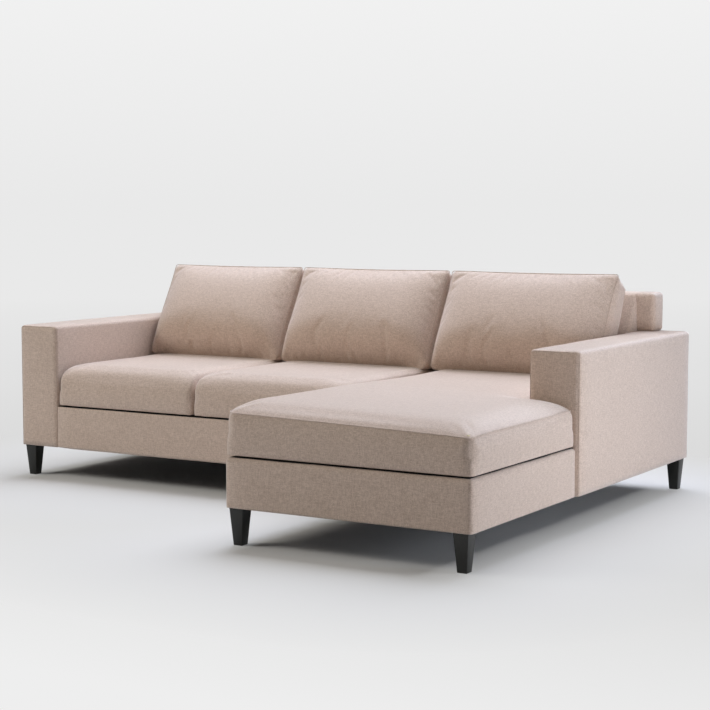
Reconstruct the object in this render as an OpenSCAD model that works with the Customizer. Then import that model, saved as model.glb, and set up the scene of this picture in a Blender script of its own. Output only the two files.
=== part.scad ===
// L-shaped sectional sofa: a two-seat section with the left arm, and a chaise section with the right arm.
// Millimetres, +Z up. The origin is on the floor, under the middle of the sofa's outline.
// +X runs along the back towards the chaise, and +Y runs from the chaise's front to the rear.

/* [Seats and arms] */
// Width of each of the two plain seats
seat_w = 695; // [640:5:760]
// How far the split between the two plain seats lies to the left of their middle
split_shift = 15; // [0:1:25]
// Width of the chaise's seat, between the second seat and the right arm
chaise_seat_w = 730; // [680:5:800]
// Width of an arm
arm_w = 190; // [170:2:220]
// Depth of the arms, from their fronts to the rear of the sofa
body_d = 1075; // [1040:5:1130]
// How far the chaise reaches out in front of the arms
chaise_reach = 785; // [700:5:860]
// How far the chaise's base stands back from the right arm's outer face
base_inset = 10; // [4:1:16]
// Space between the two sections
section_gap = 2; // [1:0.5:4]

/* [Heights] */
// Height of the legs, under the base
leg_h = 126; // [110:2:150]
// Height of the deck that the seat cushions lie on
base_top = 293; // [280:1:310]
// Height of the arms
arm_top = 622; // [600:1:650]
// Height of the back's frame, behind the cushions
back_top = 773; // [750:1:800]

/* [Back] */
// Thickness of the back along its top
back_t = 105; // [95:1:125]
// Lean of the back's inner face and of the back cushions, in degrees from upright
back_lean = 24; // [20:1:26]
// How far the raised end of the back stops short of the arm's outer face
lap_inset = 110; // [80:2:130]

/* [Upholstery] */
// Thickness of a padded cover
pad_t = 12; // [8:1:14]
// Thickness of the plain lining on the side that meets the other section
lining_t = 3; // [2:0.5:5]
// Thickness of the padded deck
deck_t = 10; // [6:1:14]
// Thickness of the dust cover underneath
dust_t = 1.2; // [0.8:0.1:2]
// Rounding of the covers' edges
edge_r = 16; // [6:1:22]

/* [Timber] */
// Thickness of the rails that carry the legs
rail_t = 42; // [36:1:48]
// Thickness of studs and side rails
stud_t = 28; // [22:1:32]
// Height of the lower rails in the arms
low_rail_h = 60; // [45:1:75]
// Height of the top rails in the arms and the back
top_rail_h = 45; // [35:1:55]
// Thickness of the fibre boards
board_t = 5; // [3:0.5:7]
// Side of the glued corner blocks
block_s = 62; // [45:1:75]

/* [Legs] */
// Width of a leg at its top
leg_top_w = 54; // [46:1:60]
// Width of a leg at the floor
leg_foot_w = 34; // [26:1:44]
// How far a leg stands in from the side of its section
leg_in_x = 13; // [8:1:20]
// How far a leg stands in from the front or rear of its section
leg_in_y = 6; // [3:1:10]
// Radius of the threaded bolt that holds a leg
bolt_r = 4; // [3:0.5:5]
// Length of the bolt inside the leg
bolt_in_leg = 30; // [20:1:45]
// Length of the bolt inside the rail
bolt_in_rail = 38; // [25:1:50]
// Side of the steel plate over a leg
plate_s = 42; // [34:1:42]
// Thickness of that plate
plate_t = 3; // [2:0.5:4]

/* [Springs] */
// Distance between neighbouring springs
spring_pitch = 132; // [110:1:170]
// Thickness of the spring wire
wire_t = 4; // [3:0.5:5]
// Length of one wave of the wire
wave_l = 56; // [48:1:70]
// How far a wave swings to each side
wave_a = 20; // [14:1:22]
// Height of the clips that hold the springs
clip_h = 8; // [7:0.5:10]

/* [Section connectors] */
// Radius of the locking pin
pin_r = 6; // [4:0.5:7]
// Height of the pin above its bracket
pin_h = 22; // [16:1:30]
// Thickness of the bracket
bracket_t = 3; // [2:0.5:4]
// Length of the bracket along the sections' joint
bracket_l = 50; // [40:1:60]
// Distance from the arm fronts to the front connector
bracket_front = 150; // [120:5:200]
// Distance from the sofa's rear to the rear connector
bracket_rear = 190; // [170:5:215]
// Radius of a screw's shank
screw_r = 2; // [1.5:0.25:2.5]

/* [Cushions] */
// Height of the seat cushions' crown
seat_top = 463; // [450:1:475]
// Height of the upper seam along a plain seat cushion's front
seat_seam = 418; // [405:1:430]
// Height of the upper seam along the chaise cushion's front
chaise_seam = 436; // [425:1:445]
// Height of the cushions' lower seam above the deck
seam_lift = 8; // [4:1:12]
// Clearance between a cushion and what stands beside it
side_gap = 2; // [1:0.5:4]
// Distance from the back's inner face to the back cushions' front, at the height of the seat
back_cushion_t = 197; // [170:1:205]
// Length of a back cushion's face, from seam to seam
back_cushion_l = 425; // [390:5:440]
// Width of the band that joins a back cushion's faces
band_w = 107; // [90:1:112]
// How far a back cushion's front face swells out
front_crown = 30; // [15:1:40]
// How far the sides of a cushion draw in between its corners
draw_in = 5; // [2:0.5:8]
// Thickness of the cover and its wadding round a cushion's core
core_in = 24; // [18:1:30]

/* [Hidden] */

$fn = 32;
fabric = [0.70, 0.62, 0.56];
lining = [0.30, 0.28, 0.27];
timber = [0.80, 0.66, 0.45];
board = [0.62, 0.50, 0.36];
black_wood = [0.11, 0.11, 0.10];
steel = [0.62, 0.63, 0.65];
foam = [0.93, 0.88, 0.70];

// Running clearance between pieces of different bodies, and between a bolt and its hole
rest_gap = 0.4;
bolt_gap = 0.15;
// Space between boards that meet at an edge, and between the leaning board and its cover
board_gap = 0.5;
board_fit = 0.2;

// Planes of the whole sofa
sofa_w = 2 * arm_w + 2 * seat_w + chaise_seat_w;
sofa_d = body_d + chaise_reach;
x_left = -sofa_w / 2;
x_right = sofa_w / 2;
y_front = -sofa_d / 2;
y_rear = sofa_d / 2;
y_arm = y_rear - body_d;
x_in_left = x_left + arm_w;
x_in_right = x_right - arm_w;
x_split = x_in_left + 2 * seat_w;
x_love_end = x_split - section_gap / 2;
x_chaise = x_split + section_gap / 2;
x_chaise_side = x_right - base_inset;

// Planes of the base
z_rail = leg_h + plate_t;
z_deck = base_top - deck_t;
z_rail_top = z_deck - clip_h;
y_rail = y_arm + pad_t;
y_rail_rear = y_rear - pad_t - rail_t;
x_love_in = x_love_end - lining_t;
x_chaise_in = x_chaise + pad_t;
x_chaise_side_in = x_chaise_side - pad_t;
y_chaise_rail = y_front + pad_t;

// The back's inner face leans, and its depth at height z follows
function back_y(z) = y_rear - back_t - (back_top - z) * tan(back_lean);
pad_slope = pad_t / cos(back_lean);
board_slope = board_t / cos(back_lean);
function back_in(z) = back_y(z) + pad_slope;
function board_front(z) = back_in(z) + board_fit;
function board_rear(z) = board_front(z) + board_slope;
y_back_foot = back_y(base_top);
z_back_rail = back_top - pad_t - top_rail_h;
back_stud_front = board_front(back_top - pad_t) + board_t;

// Centres of the legs, the plain section's first
leg_x = leg_in_x + leg_top_w / 2;
leg_y = leg_in_y + leg_top_w / 2;
love_legs = [
    [x_left + leg_x, y_arm + leg_y],
    [x_left + leg_x, y_rear - leg_y],
    [x_love_end - leg_x, y_arm + leg_y],
    [x_love_end - leg_x, y_rear - leg_y]
];
chaise_legs = [
    [x_chaise + leg_x, y_front + leg_y],
    [x_chaise_side - leg_x, y_front + leg_y],
    [x_chaise + leg_x, y_rear - leg_y],
    [x_right - leg_x, y_rear - leg_y]
];

// Places of the connectors
bracket_ys = [y_arm + bracket_front, y_rear - bracket_rear];
pin_x = x_chaise_in + stud_t / 2;
love_screw_x = x_love_in - stud_t / 2;
love_screw_off = bracket_l / 2 - 10;
keeper_l = bracket_l + 40;
keeper_screw_off = keeper_l / 2 - 9;
screw_head_r = 2 * screw_r;
screw_head_h = screw_r;
screw_l = 22;

// A box between two opposite corners
module block(low, high) {
    translate(low) cube(high - low);
}

// An outline in Y and Z, run along X
module along_x(x0, x1) {
    translate([x0, 0, 0]) rotate([90, 0, 90]) linear_extrude(height = x1 - x0) children();
}

// An outline in X and Z, run along Y
module along_y(y0, y1) {
    translate([0, y1, 0]) rotate([90, 0, 0]) linear_extrude(height = y1 - y0) children();
}

// An outline in X and Y, run along Z
module along_z(z0, z1) {
    translate([0, 0, z0]) linear_extrude(height = z1 - z0) children();
}

// A rectangle with its upper two corners rounded
module round_top(x0, x1, z0, z1, r) {
    translate([x0, z0]) square([x1 - x0, z1 - z0 - r]);
    translate([x0 + r, z0]) square([x1 - x0 - 2 * r, z1 - z0]);
    for (x = [x0 + r, x1 - r]) translate([x, z1 - r]) circle(r);
}

// A rectangle with all four corners rounded
module round_all(x0, x1, y0, y1, r) {
    translate([x0, y0 + r]) square([x1 - x0, y1 - y0 - 2 * r]);
    translate([x0 + r, y0]) square([x1 - x0 - 2 * r, y1 - y0]);
    for (x = [x0 + r, x1 - r], y = [y0 + r, y1 - r]) translate([x, y]) circle(r);
}

// Bores for the leg bolts that lie in a timber
module bolt_bores(legs) {
    for (p = legs)
        translate([p[0], p[1], z_rail - 1])
            cylinder(r = bolt_r + bolt_gap, h = bolt_in_rail + 2);
}

// Arms
module arm_cover(x0) {
    x1 = x0 + arm_w;
    color(fabric) difference() {
        intersection() {
            along_y(y_arm, y_rear) round_top(x0, x1, leg_h, arm_top, edge_r);
            along_z(leg_h, arm_top) round_all(x0, x1, y_arm, y_rear, edge_r);
        }
        block([x0 + pad_t, y_arm + pad_t, leg_h - 1], [x1 - pad_t, y_rear - pad_t, arm_top - pad_t]);
    }
}

// Inner faces of an arm's boards, where its frame begins and ends
function stud_x0(x0) = x0 + pad_t + board_t;
function stud_x1(x0) = x0 + arm_w - pad_t - board_t;
z_arm_board = arm_top - pad_t - board_t;
z_arm_top_rail = z_arm_board - top_rail_h;

module arm_posts(x0) {
    color(timber)
        for (x = [stud_x0(x0), stud_x1(x0) - stud_t], y = [y_rail, y_rail_rear])
            block([x, y, z_rail + low_rail_h], [x + stud_t, y + rail_t, z_arm_top_rail]);
}

module arm_rails(x0, legs) {
    color(timber) difference() {
        union() {
            for (x = [stud_x0(x0), stud_x1(x0) - stud_t]) {
                block([x, y_rail, z_arm_top_rail], [x + stud_t, y_rear - pad_t, z_arm_board]);
                block([x, y_rail + rail_t + board_gap, z_rail],
                      [x + stud_t, y_rail_rear - board_gap, z_rail + low_rail_h]);
            }
            for (y = [y_rail, y_rail_rear])
                block([stud_x0(x0), y, z_rail], [stud_x1(x0), y + rail_t, z_rail + low_rail_h]);
        }
        bolt_bores(legs);
    }
}

module arm_panels(x0) {
    color(board) {
        for (x = [x0 + pad_t, stud_x1(x0)])
            block([x, y_rail, z_rail], [x + board_t, y_rear - pad_t, z_arm_board - board_gap]);
        block([x0 + pad_t, y_rail, z_arm_board], [x0 + arm_w - pad_t, y_rear - pad_t, arm_top - pad_t]);
    }
}

// Back
module back_outline() {
    r = edge_r;
    difference() {
        polygon([
            [y_rear, leg_h], [y_rear, back_top], [y_rear - back_t, back_top],
            [y_back_foot, base_top], [y_rear - pad_t, base_top], [y_rear - pad_t, leg_h]
        ]);
        translate([y_rear - r, back_top - r]) difference() {
            square(r + 1);
            circle(r);
        }
    }
}

module back_hollow() {
    polygon([
        [y_rear - pad_t, leg_h - 1], [y_rear - pad_t, back_top - pad_t],
        [back_in(back_top - pad_t), back_top - pad_t], [back_in(base_top - 1), base_top - 1],
        [y_back_foot + pad_slope, leg_h - 1]
    ]);
}

// The part of the back that stands above the arm, from a depth of y0 to its rear
module raised_outline(y0) {
    intersection() {
        back_outline();
        translate([y0, arm_top]) square([y_rear - y0, back_top - arm_top]);
    }
}

module lap_hollow() {
    translate([y_rear - back_t + pad_t, arm_top - 1])
        square([back_t - 2 * pad_t, back_top - pad_t - arm_top + 1]);
}

// Cover of a back from x0 to x1, with its lap over the arm, and the cheek that closes its end beside the lap
module back_cover(x0, x1, wall0, wall1, lap0, lap1) {
    cheek = lap0 < x0 ? x0 - pad_t : x1;
    color(fabric) difference() {
        union() {
            along_x(x0, x1) back_outline();
            along_x(lap0, lap1) raised_outline(y_rear - back_t);
            along_x(cheek, cheek + pad_t) raised_outline(y_back_foot);
        }
        along_x(x0 + wall0, x1 - wall1) back_hollow();
        along_x(lap0 + (lap0 < x0 ? pad_t : -1), lap1 - (lap1 > x1 ? pad_t : -1)) lap_hollow();
    }
}

module back_posts(xs) {
    color(timber) for (x = xs) along_x(x, x + stud_t) polygon([
        [y_rear - pad_t, z_rail_top], [y_rear - pad_t, z_back_rail],
        [board_rear(z_back_rail), z_back_rail],
        [board_rear(base_top), base_top],
        [y_rail_rear, base_top], [y_rail_rear, z_rail_top]
    ]);
}

// Two top rails from x0 to x1, and a lumbar rail in each bay between posts
module back_rails(x0, x1, xs) {
    color(timber) {
        for (y = [back_stud_front, y_rear - pad_t - stud_t])
            block([x0, y, z_back_rail], [x1, y + stud_t, back_top - pad_t]);
        for (k = [0 : len(xs) - 2])
            block([xs[k] + stud_t, y_rear - pad_t - stud_t, seat_top],
                  [xs[k + 1], y_rear - pad_t, seat_top + low_rail_h]);
    }
}

module back_panel(x0, x1) {
    color(board) along_x(x0, x1) polygon([
        [board_front(base_top), base_top], [board_front(z_back_rail), z_back_rail],
        [board_rear(z_back_rail), z_back_rail], [board_rear(base_top), base_top]
    ]);
}

// Base of the plain section
love_posts = [x_in_left, (x_in_left + x_love_in - stud_t) / 2, x_love_in - stud_t];

module loveseat_long_rails() {
    color(timber) difference() {
        union() {
            for (y = [y_rail, y_back_foot, y_rail_rear])
                block([x_in_left, y, z_rail], [x_love_in, y + rail_t, z_rail_top]);
        }
        bolt_bores([love_legs[2], love_legs[3]]);
    }
}

module loveseat_cross_rails() {
    color(timber) difference() {
        union() for (x = love_posts) {
            block([x, y_rail + rail_t, z_rail], [x + stud_t, y_back_foot, z_rail_top]);
            block([x, y_back_foot + rail_t, z_rail], [x + stud_t, y_rail_rear, z_rail_top]);
        }
        for (y = bracket_ys, s = [-1, 1]) screw_bore(love_screw_x, y + s * love_screw_off);
        // The middle rail lies lower, so the springs can bend over it
        block([love_posts[1] - 1, y_rail + rail_t - 1, z_rail_top - low_rail_h],
              [love_posts[1] + stud_t + 1, y_back_foot + 1, z_rail_top + 1]);
    }
}

// A glued block in the corner at a point, reaching along X and Y by signs
module corner_block(p, sx, sy) {
    along_z(z_rail, z_rail_top - clip_h)
        polygon([p, p + [sx * block_s, 0], p + [0, sy * block_s]]);
}

module loveseat_corner_blocks() {
    color(timber) {
        corner_block([x_in_left + stud_t, y_rail + rail_t], 1, 1);
        corner_block([x_in_left + stud_t, y_back_foot], 1, -1);
        corner_block([x_love_in - stud_t, y_rail + rail_t], -1, 1);
        corner_block([x_love_in - stud_t, y_back_foot], -1, -1);
    }
}

// A sinuous spring from the origin along X, with straight tails
function spring_line(length, waves, tail) = concat(
    [[0, 0]],
    [for (k = [0 : waves * 6]) [tail + k * (length - 2 * tail) / (waves * 6), wave_a * sin(k * 60)]],
    [[length, 0]]
);
function unit(v) = v / norm(v);
function side_of(p, k) = let (
        a = p[max(k - 1, 0)], b = p[min(k + 1, len(p) - 1)], t = unit(b - a)
    ) [-t[1], t[0]];

module spring(length) {
    tail = 20;
    waves = max(1, floor((length - 2 * tail) / wave_l));
    p = spring_line(length, waves, tail);
    linear_extrude(height = wire_t) polygon(concat(
        [for (k = [0 : len(p) - 1]) p[k] + side_of(p, k) * wire_t / 2],
        [for (k = [len(p) - 1 : -1 : 0]) p[k] - side_of(p, k) * wire_t / 2]
    ));
}

clip_l = 22;
clip_w = 14;
z_wire = z_rail_top + (clip_h - wire_t) / 2;
wire_gap = 0.2;

// The clip that holds a spring's end, over a rail, centred on the origin
module clip() {
    difference() {
        translate([-clip_l / 2, -clip_w / 2, z_rail_top]) cube([clip_l, clip_w, clip_h]);
        translate([-clip_l / 2 - 1, -wire_t / 2 - wire_gap, z_wire - wire_gap])
            cube([clip_l + 2, wire_t + 2 * wire_gap, wire_t + 2 * wire_gap]);
    }
}

// Evenly spaced places from a to b, no closer than the springs' pitch
function places(a, b) = let (n = max(2, floor((b - a) / spring_pitch)))
    [for (k = [0.5 : n - 0.5]) a + (b - a) * k / n];

// Springs reach a little over half of each rail's width
spring_y0 = y_rail + rail_t / 2;
spring_y1 = y_back_foot + rail_t / 2;
love_spring_xs = places(x_in_left + stud_t, x_love_in - stud_t);

module loveseat_springs() {
    color(steel) for (x = love_spring_xs)
        translate([x, spring_y0, z_wire]) rotate(90) spring(spring_y1 - spring_y0);
}

module loveseat_spring_clips() {
    color(steel) for (x = love_spring_xs, y = [spring_y0 + clip_l / 4, spring_y1 - clip_l / 4])
        translate([x, y, 0]) rotate(90) clip();
}

module loveseat_deck() {
    color(lining) block([x_in_left, y_rail, z_deck], [x_love_in, y_back_foot + rail_t, base_top]);
}

// Holes in a dust cover for the leg plates and the connectors
module dust_holes(legs, xs, length) {
    g = board_gap;
    for (p = legs)
        translate([p[0] - plate_s / 2 - g, p[1] - plate_s / 2 - g]) square(plate_s + 2 * g);
    for (y = bracket_ys)
        translate([xs[0] - g, y - length / 2 - g]) square([xs[1] - xs[0] + 2 * g, length + 2 * g]);
}

// An arm's share of a dust cover, between the arm's walls
module arm_dust(x0) {
    translate([x0 + pad_t, y_rail]) square([arm_w - 2 * pad_t, y_rear - pad_t - y_rail]);
}

module loveseat_dust_cover() {
    color(lining) along_z(leg_h, leg_h + dust_t) difference() {
        union() {
            arm_dust(x_left);
            translate([x_in_left, y_rail]) square([x_love_in - x_in_left, y_rear - pad_t - y_rail]);
        }
        dust_holes(love_legs, [x_love_in - stud_t, x_love_in + 1], bracket_l);
    }
}

module loveseat_base_cover() {
    color(fabric) along_x(x_in_left, x_love_end) difference() {
        translate([y_arm, leg_h]) square([pad_t, base_top - leg_h]);
        translate([y_arm + pad_t / 2, base_top - pad_t / 2]) difference() {
            translate([-pad_t, 0]) square(pad_t);
            circle(pad_t / 2);
        }
    }
    color(lining) block([x_love_in, y_rail + board_gap, leg_h], [x_love_end, y_rear - pad_t, base_top]);
}

// Legs: a square taper, bored for its bolt
module leg(p) {
    top = leg_top_w / 2;
    foot = leg_foot_w / 2;
    side = [[-foot, 0], [foot, 0], [top, leg_h], [-top, leg_h]];
    color(black_wood) translate([p[0], p[1], 0]) difference() {
        intersection() {
            along_x(-leg_top_w, leg_top_w) polygon(side);
            along_y(-leg_top_w, leg_top_w) polygon(side);
        }
        translate([0, 0, leg_h - bolt_in_leg - 1]) cylinder(r = bolt_r + bolt_gap, h = bolt_in_leg + 2);
    }
}

module leg_plates(legs) {
    color(steel) for (p = legs) difference() {
        translate([p[0] - plate_s / 2, p[1] - plate_s / 2, leg_h]) cube([plate_s, plate_s, plate_t]);
        translate([p[0], p[1], leg_h - 1]) cylinder(r = bolt_r + bolt_gap, h = plate_t + 2);
    }
}

module leg_bolts(legs) {
    for (p = legs)
        translate([p[0], p[1], leg_h - bolt_in_leg])
            cylinder(r = bolt_r, h = bolt_in_leg + plate_t + bolt_in_rail);
}

// A screw driven upwards, with its head under height z
module screw(x, y, z) {
    translate([x, y, z - screw_head_h]) cylinder(r = screw_head_r, h = screw_head_h);
    translate([x, y, z - screw_head_h]) cylinder(r = screw_r, h = screw_head_h + screw_l);
}

module screw_bore(x, y) {
    translate([x, y, leg_h - bracket_t - 2])
        cylinder(r = screw_r + bolt_gap, h = bracket_t + plate_t + screw_l + 2);
}

// Underside of the brackets, which pass below the chaise section with a running gap
z_bracket_top = leg_h - rest_gap;
z_bracket = z_bracket_top - bracket_t;

module loveseat_fasteners() {
    color(steel) {
        leg_bolts(love_legs);
        for (y = bracket_ys, s = [-1, 1]) screw(love_screw_x, y + s * love_screw_off, z_bracket);
    }
}

module loveseat_connectors() {
    color(steel) for (y = bracket_ys) {
        difference() {
            union() {
                block([x_love_in - stud_t, y - bracket_l / 2, z_bracket],
                      [pin_x + 2 * pin_r, y + bracket_l / 2, z_bracket_top]);
                block([x_love_in - stud_t, y - bracket_l / 2, z_bracket],
                      [x_love_in, y + bracket_l / 2, z_rail]);
            }
            for (s = [-1, 1]) screw_bore(love_screw_x, y + s * love_screw_off);
        }
        translate([pin_x, y, z_bracket]) cylinder(r = pin_r, h = bracket_t + pin_h);
    }
}

// Base of the chaise section
chaise_posts = [x_chaise_in, x_in_right - stud_t];

module chaise_long_rails() {
    color(timber) difference() {
        union() {
            block([x_chaise_in, y_chaise_rail + rail_t, z_rail],
                  [x_chaise_in + stud_t, y_rail_rear, z_rail_top]);
            block([x_chaise_side_in - stud_t, y_chaise_rail + rail_t, z_rail],
                  [x_chaise_side_in, y_arm, z_rail_top]);
            block([x_in_right - stud_t, y_rail + rail_t, z_rail], [x_in_right, y_rail_rear, z_rail_top]);
        }
        for (y = bracket_ys) {
            translate([pin_x, y, z_rail - 1]) cylinder(r = pin_r + 2, h = pin_h + 3);
            for (s = [-1, 1]) screw_bore(pin_x, y + s * keeper_screw_off);
        }
    }
}

module chaise_cross_rails() {
    color(timber) difference() {
        union() {
            block([x_chaise_in, y_chaise_rail, z_rail],
                  [x_chaise_side_in, y_chaise_rail + rail_t, z_rail_top]);
            block([x_chaise_in + stud_t, y_rail, z_rail],
                  [x_in_right, y_rail + rail_t, z_rail_top - low_rail_h]);
            block([x_chaise_in + stud_t, y_back_foot, z_rail],
                  [x_in_right - stud_t, y_back_foot + rail_t, z_rail_top]);
            block([x_chaise_in, y_rail_rear, z_rail], [x_in_right, y_rail_rear + rail_t, z_rail_top]);
        }
        bolt_bores([chaise_legs[0], chaise_legs[1], chaise_legs[2]]);
    }
}

module chaise_corner_blocks() {
    y = y_chaise_rail + rail_t;
    color(timber) {
        corner_block([x_chaise_in + stud_t, y], 1, 1);
        corner_block([x_chaise_side_in - stud_t, y], -1, 1);
        corner_block([x_chaise_in + stud_t, y_back_foot], 1, -1);
        corner_block([x_in_right - stud_t, y_back_foot], -1, -1);
    }
}

// Springs run across the chaise: long ones in front of the arm, short ones beside it
chaise_spring_x0 = x_chaise_in + stud_t / 2;
front_spring_ys = places(y_chaise_rail + rail_t, y_arm);
rear_spring_ys = places(y_rail + rail_t, y_back_foot);
front_spring_l = x_chaise_side_in - stud_t / 2 - chaise_spring_x0;
rear_spring_l = x_in_right - stud_t / 2 - chaise_spring_x0;

module chaise_springs() {
    color(steel) {
        for (y = front_spring_ys) translate([chaise_spring_x0, y, z_wire]) spring(front_spring_l);
        for (y = rear_spring_ys) translate([chaise_spring_x0, y, z_wire]) spring(rear_spring_l);
    }
}

module chaise_spring_clips() {
    color(steel) {
        for (y = front_spring_ys, x = [0, front_spring_l]) translate([chaise_spring_x0 + x, y, 0]) clip();
        for (y = rear_spring_ys, x = [0, rear_spring_l]) translate([chaise_spring_x0 + x, y, 0]) clip();
    }
}

module chaise_deck() {
    color(lining) {
        block([x_chaise_in, y_chaise_rail, z_deck], [x_chaise_side_in, y_arm, base_top]);
        block([x_chaise_in, y_arm + board_gap, z_deck], [x_in_right, y_back_foot + rail_t, base_top]);
    }
}

module chaise_dust_cover() {
    color(lining) along_z(leg_h + rest_gap, leg_h + rest_gap + dust_t) difference() {
        union() {
            translate([x_chaise_in, y_chaise_rail])
                square([x_chaise_side_in - x_chaise_in, y_arm - y_chaise_rail]);
            translate([x_chaise_in, y_arm - 1])
                square([x_in_right - x_chaise_in, y_rear - pad_t - y_arm + 1]);
            arm_dust(x_in_right);
        }
        dust_holes(chaise_legs, [x_chaise_in - 1, x_chaise_in + stud_t], keeper_l);
    }
}

module chaise_base_cover() {
    color(fabric) {
        along_z(leg_h, base_top) intersection() {
            round_all(x_chaise, x_chaise_side, y_front, y_arm, pad_t);
            translate([x_chaise, y_front]) square([x_chaise_side - x_chaise, pad_t]);
        }
        block([x_chaise, y_chaise_rail + board_gap, leg_h], [x_chaise_in, y_rear - pad_t, base_top]);
        block([x_chaise_side_in, y_chaise_rail + board_gap, leg_h], [x_chaise_side, y_arm, base_top]);
    }
}

module chaise_fasteners() {
    color(steel) {
        leg_bolts(chaise_legs);
        for (y = bracket_ys, s = [-1, 1]) screw(pin_x, y + s * keeper_screw_off, leg_h + rest_gap);
    }
}

// Keeper plates, which drop over the pins
module chaise_connectors() {
    color(steel) for (y = bracket_ys) difference() {
        block([x_chaise_in, y - keeper_l / 2, leg_h + rest_gap],
              [x_chaise_in + stud_t, y + keeper_l / 2, z_rail]);
        translate([pin_x, y, leg_h - 1]) cylinder(r = pin_r + rest_gap, h = plate_t + 2);
        for (s = [-1, 1]) screw_bore(pin_x, y + s * keeper_screw_off);
    }
}

// Cushions. A pad is a grid of points over a plan, cols by rows, whose plan may have a notch at its
// right rear: p = [x0, x1, y0, y1, notch x, notch y]. Rows up to the notch row keep the full width.
cols = 14;
rows = 18;
notch_row = 9;
notch_slant = 12;
corner_in = 9;
// How far a seat cushion's lower seam and its flat sole lie inside its sides
foot_in = 2;
sole_in = 45;
// Spacing of the points, a little closer towards the edges
function ease(t) = t / 2 + (1 - cos(180 * t)) / 4;
function notched(p) = p[5] < p[3];
function row_y(p, j, d) = !notched(p)
    ? p[2] + d + (p[3] - p[2] - 2 * d) * ease(j / rows)
    : (j <= notch_row
        ? p[2] + d + (p[5] - notch_slant - p[2] - 2 * d) * ease(j / notch_row)
        : p[5] - d + (p[3] - p[5]) * ease((j - notch_row - 1) / (rows - notch_row - 1)));
function row_x1(p, j, d) = (notched(p) && j > notch_row ? p[4] : p[1]) - d;
function is_corner(i, j) = (i == 0 || i == cols) && (j == 0 || j == rows);
function plan(p, i, j, d) = let (
        x0 = p[0] + d, x1 = row_x1(p, j, d), y = row_y(p, j, d),
        c = is_corner(i, j) ? corner_in : 0
    ) [x0 + (x1 - x0) * ease(i / cols) + (i == 0 ? c : -c), y + (j == 0 ? c : -c)];

// The rim of the grid, once round
rim = concat(
    [for (i = [0 : cols]) [i, 0]],
    [for (j = [1 : rows]) [cols, j]],
    [for (i = [cols - 1 : -1 : 0]) [i, rows]],
    [for (j = [rows - 1 : -1 : 1]) [0, j]]
);
rim_n = len(rim);

// Rise from an edge to the flat crown, over a run
function swell(distance, run) = 1 - pow(1 - min(max(distance, 0) / run, 1), 2.4);
function swell_in(q, x0, x1, y0, y1, runs) =
    swell(q[0] - x0, runs[0]) * swell(x1 - q[0], runs[0])
        * swell(q[1] - y0, runs[1]) * swell(y1 - q[1], runs[2]);
function swell_at(q, p, runs) = let (
        whole = swell_in(q, p[0], notched(p) ? p[4] : p[1], p[2], p[3], runs),
        front = notched(p) ? swell_in(q, p[0], p[1], p[2], p[5] - notch_slant, runs) : 0
    ) 1 - (1 - whole) * (1 - front);

// Faces of a grid, and of the bands between the rings of points that follow it
function cell(i, j) = j * (cols + 1) + i;
grid_n = (cols + 1) * (rows + 1);
function grid_faces(start, up) = [for (j = [0 : rows - 1], i = [0 : cols - 1])
    let (
        a = start + cell(i, j), b = start + cell(i + 1, j),
        c = start + cell(i + 1, j + 1), d = start + cell(i, j + 1)
    )
    each (up ? [[a, d, c], [a, c, b]] : [[a, c, d], [a, b, c]])];
function ring_of(start, k) = [for (m = [0 : rim_n - 1]) start + k * rim_n + m];
function rim_of(start) = [for (m = [0 : rim_n - 1]) start + cell(rim[m][0], rim[m][1])];
function band_faces(upper, lower) = [for (m = [0 : rim_n - 1])
    let (n = (m + 1) % rim_n) each [[upper[m], upper[n], lower[n]], [upper[m], lower[n], lower[m]]]];

// How far a side is drawn in at a point: nothing at the corners and inside, most at mid-side
function drawn(i, j) = draw_in * (
    (j == 0 || j == rows) ? sin(180 * ease(i / cols)) : (i == 0 || i == cols) ? sin(180 * ease(j / rows)) : 0
);

// A seat cushion over a plan, with its upper seam at height seam
module seat_pad(p, seam, runs) {
    z0 = base_top + rest_gap;
    z1 = base_top + seam_lift;
    grid = [for (j = [0 : rows], i = [0 : cols])
        let (q = plan(p, i, j, drawn(i, j)))
        [q[0], q[1], seam + (seat_top - seam) * swell_at(q, p, runs)]];
    mid = [for (m = [0 : rim_n - 1])
        let (q = plan(p, rim[m][0], rim[m][1], 0)) [q[0], q[1], (seam + z1) / 2]];
    low = [for (m = [0 : rim_n - 1])
        let (q = plan(p, rim[m][0], rim[m][1], drawn(rim[m][0], rim[m][1]) + foot_in)) [q[0], q[1], z1]];
    sole = [for (m = [0 : rim_n - 1]) let (q = plan(p, rim[m][0], rim[m][1], sole_in)) [q[0], q[1], z0]];
    hub = [(p[0] + (notched(p) ? p[4] : p[1])) / 2, (p[2] + (notched(p) ? p[5] : p[3])) / 2, z0];
    top = rim_of(0);
    hub_i = grid_n + 3 * rim_n;
    polyhedron(
        points = concat(grid, mid, low, sole, [hub]),
        faces = concat(
            grid_faces(0, true),
            band_faces(top, ring_of(grid_n, 0)),
            band_faces(ring_of(grid_n, 0), ring_of(grid_n, 1)),
            band_faces(ring_of(grid_n, 1), ring_of(grid_n, 2)),
            [for (m = [0 : rim_n - 1]) [grid_n + 2 * rim_n + m, grid_n + 2 * rim_n + (m + 1) % rim_n, hub_i]]
        )
    );
}
// Plans of the seat cushions
seat_y0 = y_arm + 1;
seat_y1 = back_y(base_top) - side_gap;
x_seat_split = x_in_left + seat_w - split_shift;
function love_plan(x0, x1) = [x0 + side_gap, x1 - side_gap, seat_y0, seat_y1, 0, seat_y1];
left_plan = love_plan(x_in_left, x_seat_split);
centre_plan = love_plan(x_seat_split, x_love_end);
chaise_plan = [
    x_chaise + side_gap, x_chaise_side, y_front + 1, seat_y1, x_in_right - side_gap, y_arm - side_gap
];
love_runs = [190, 250, 100];
chaise_runs = [170, 200, 100];

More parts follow.
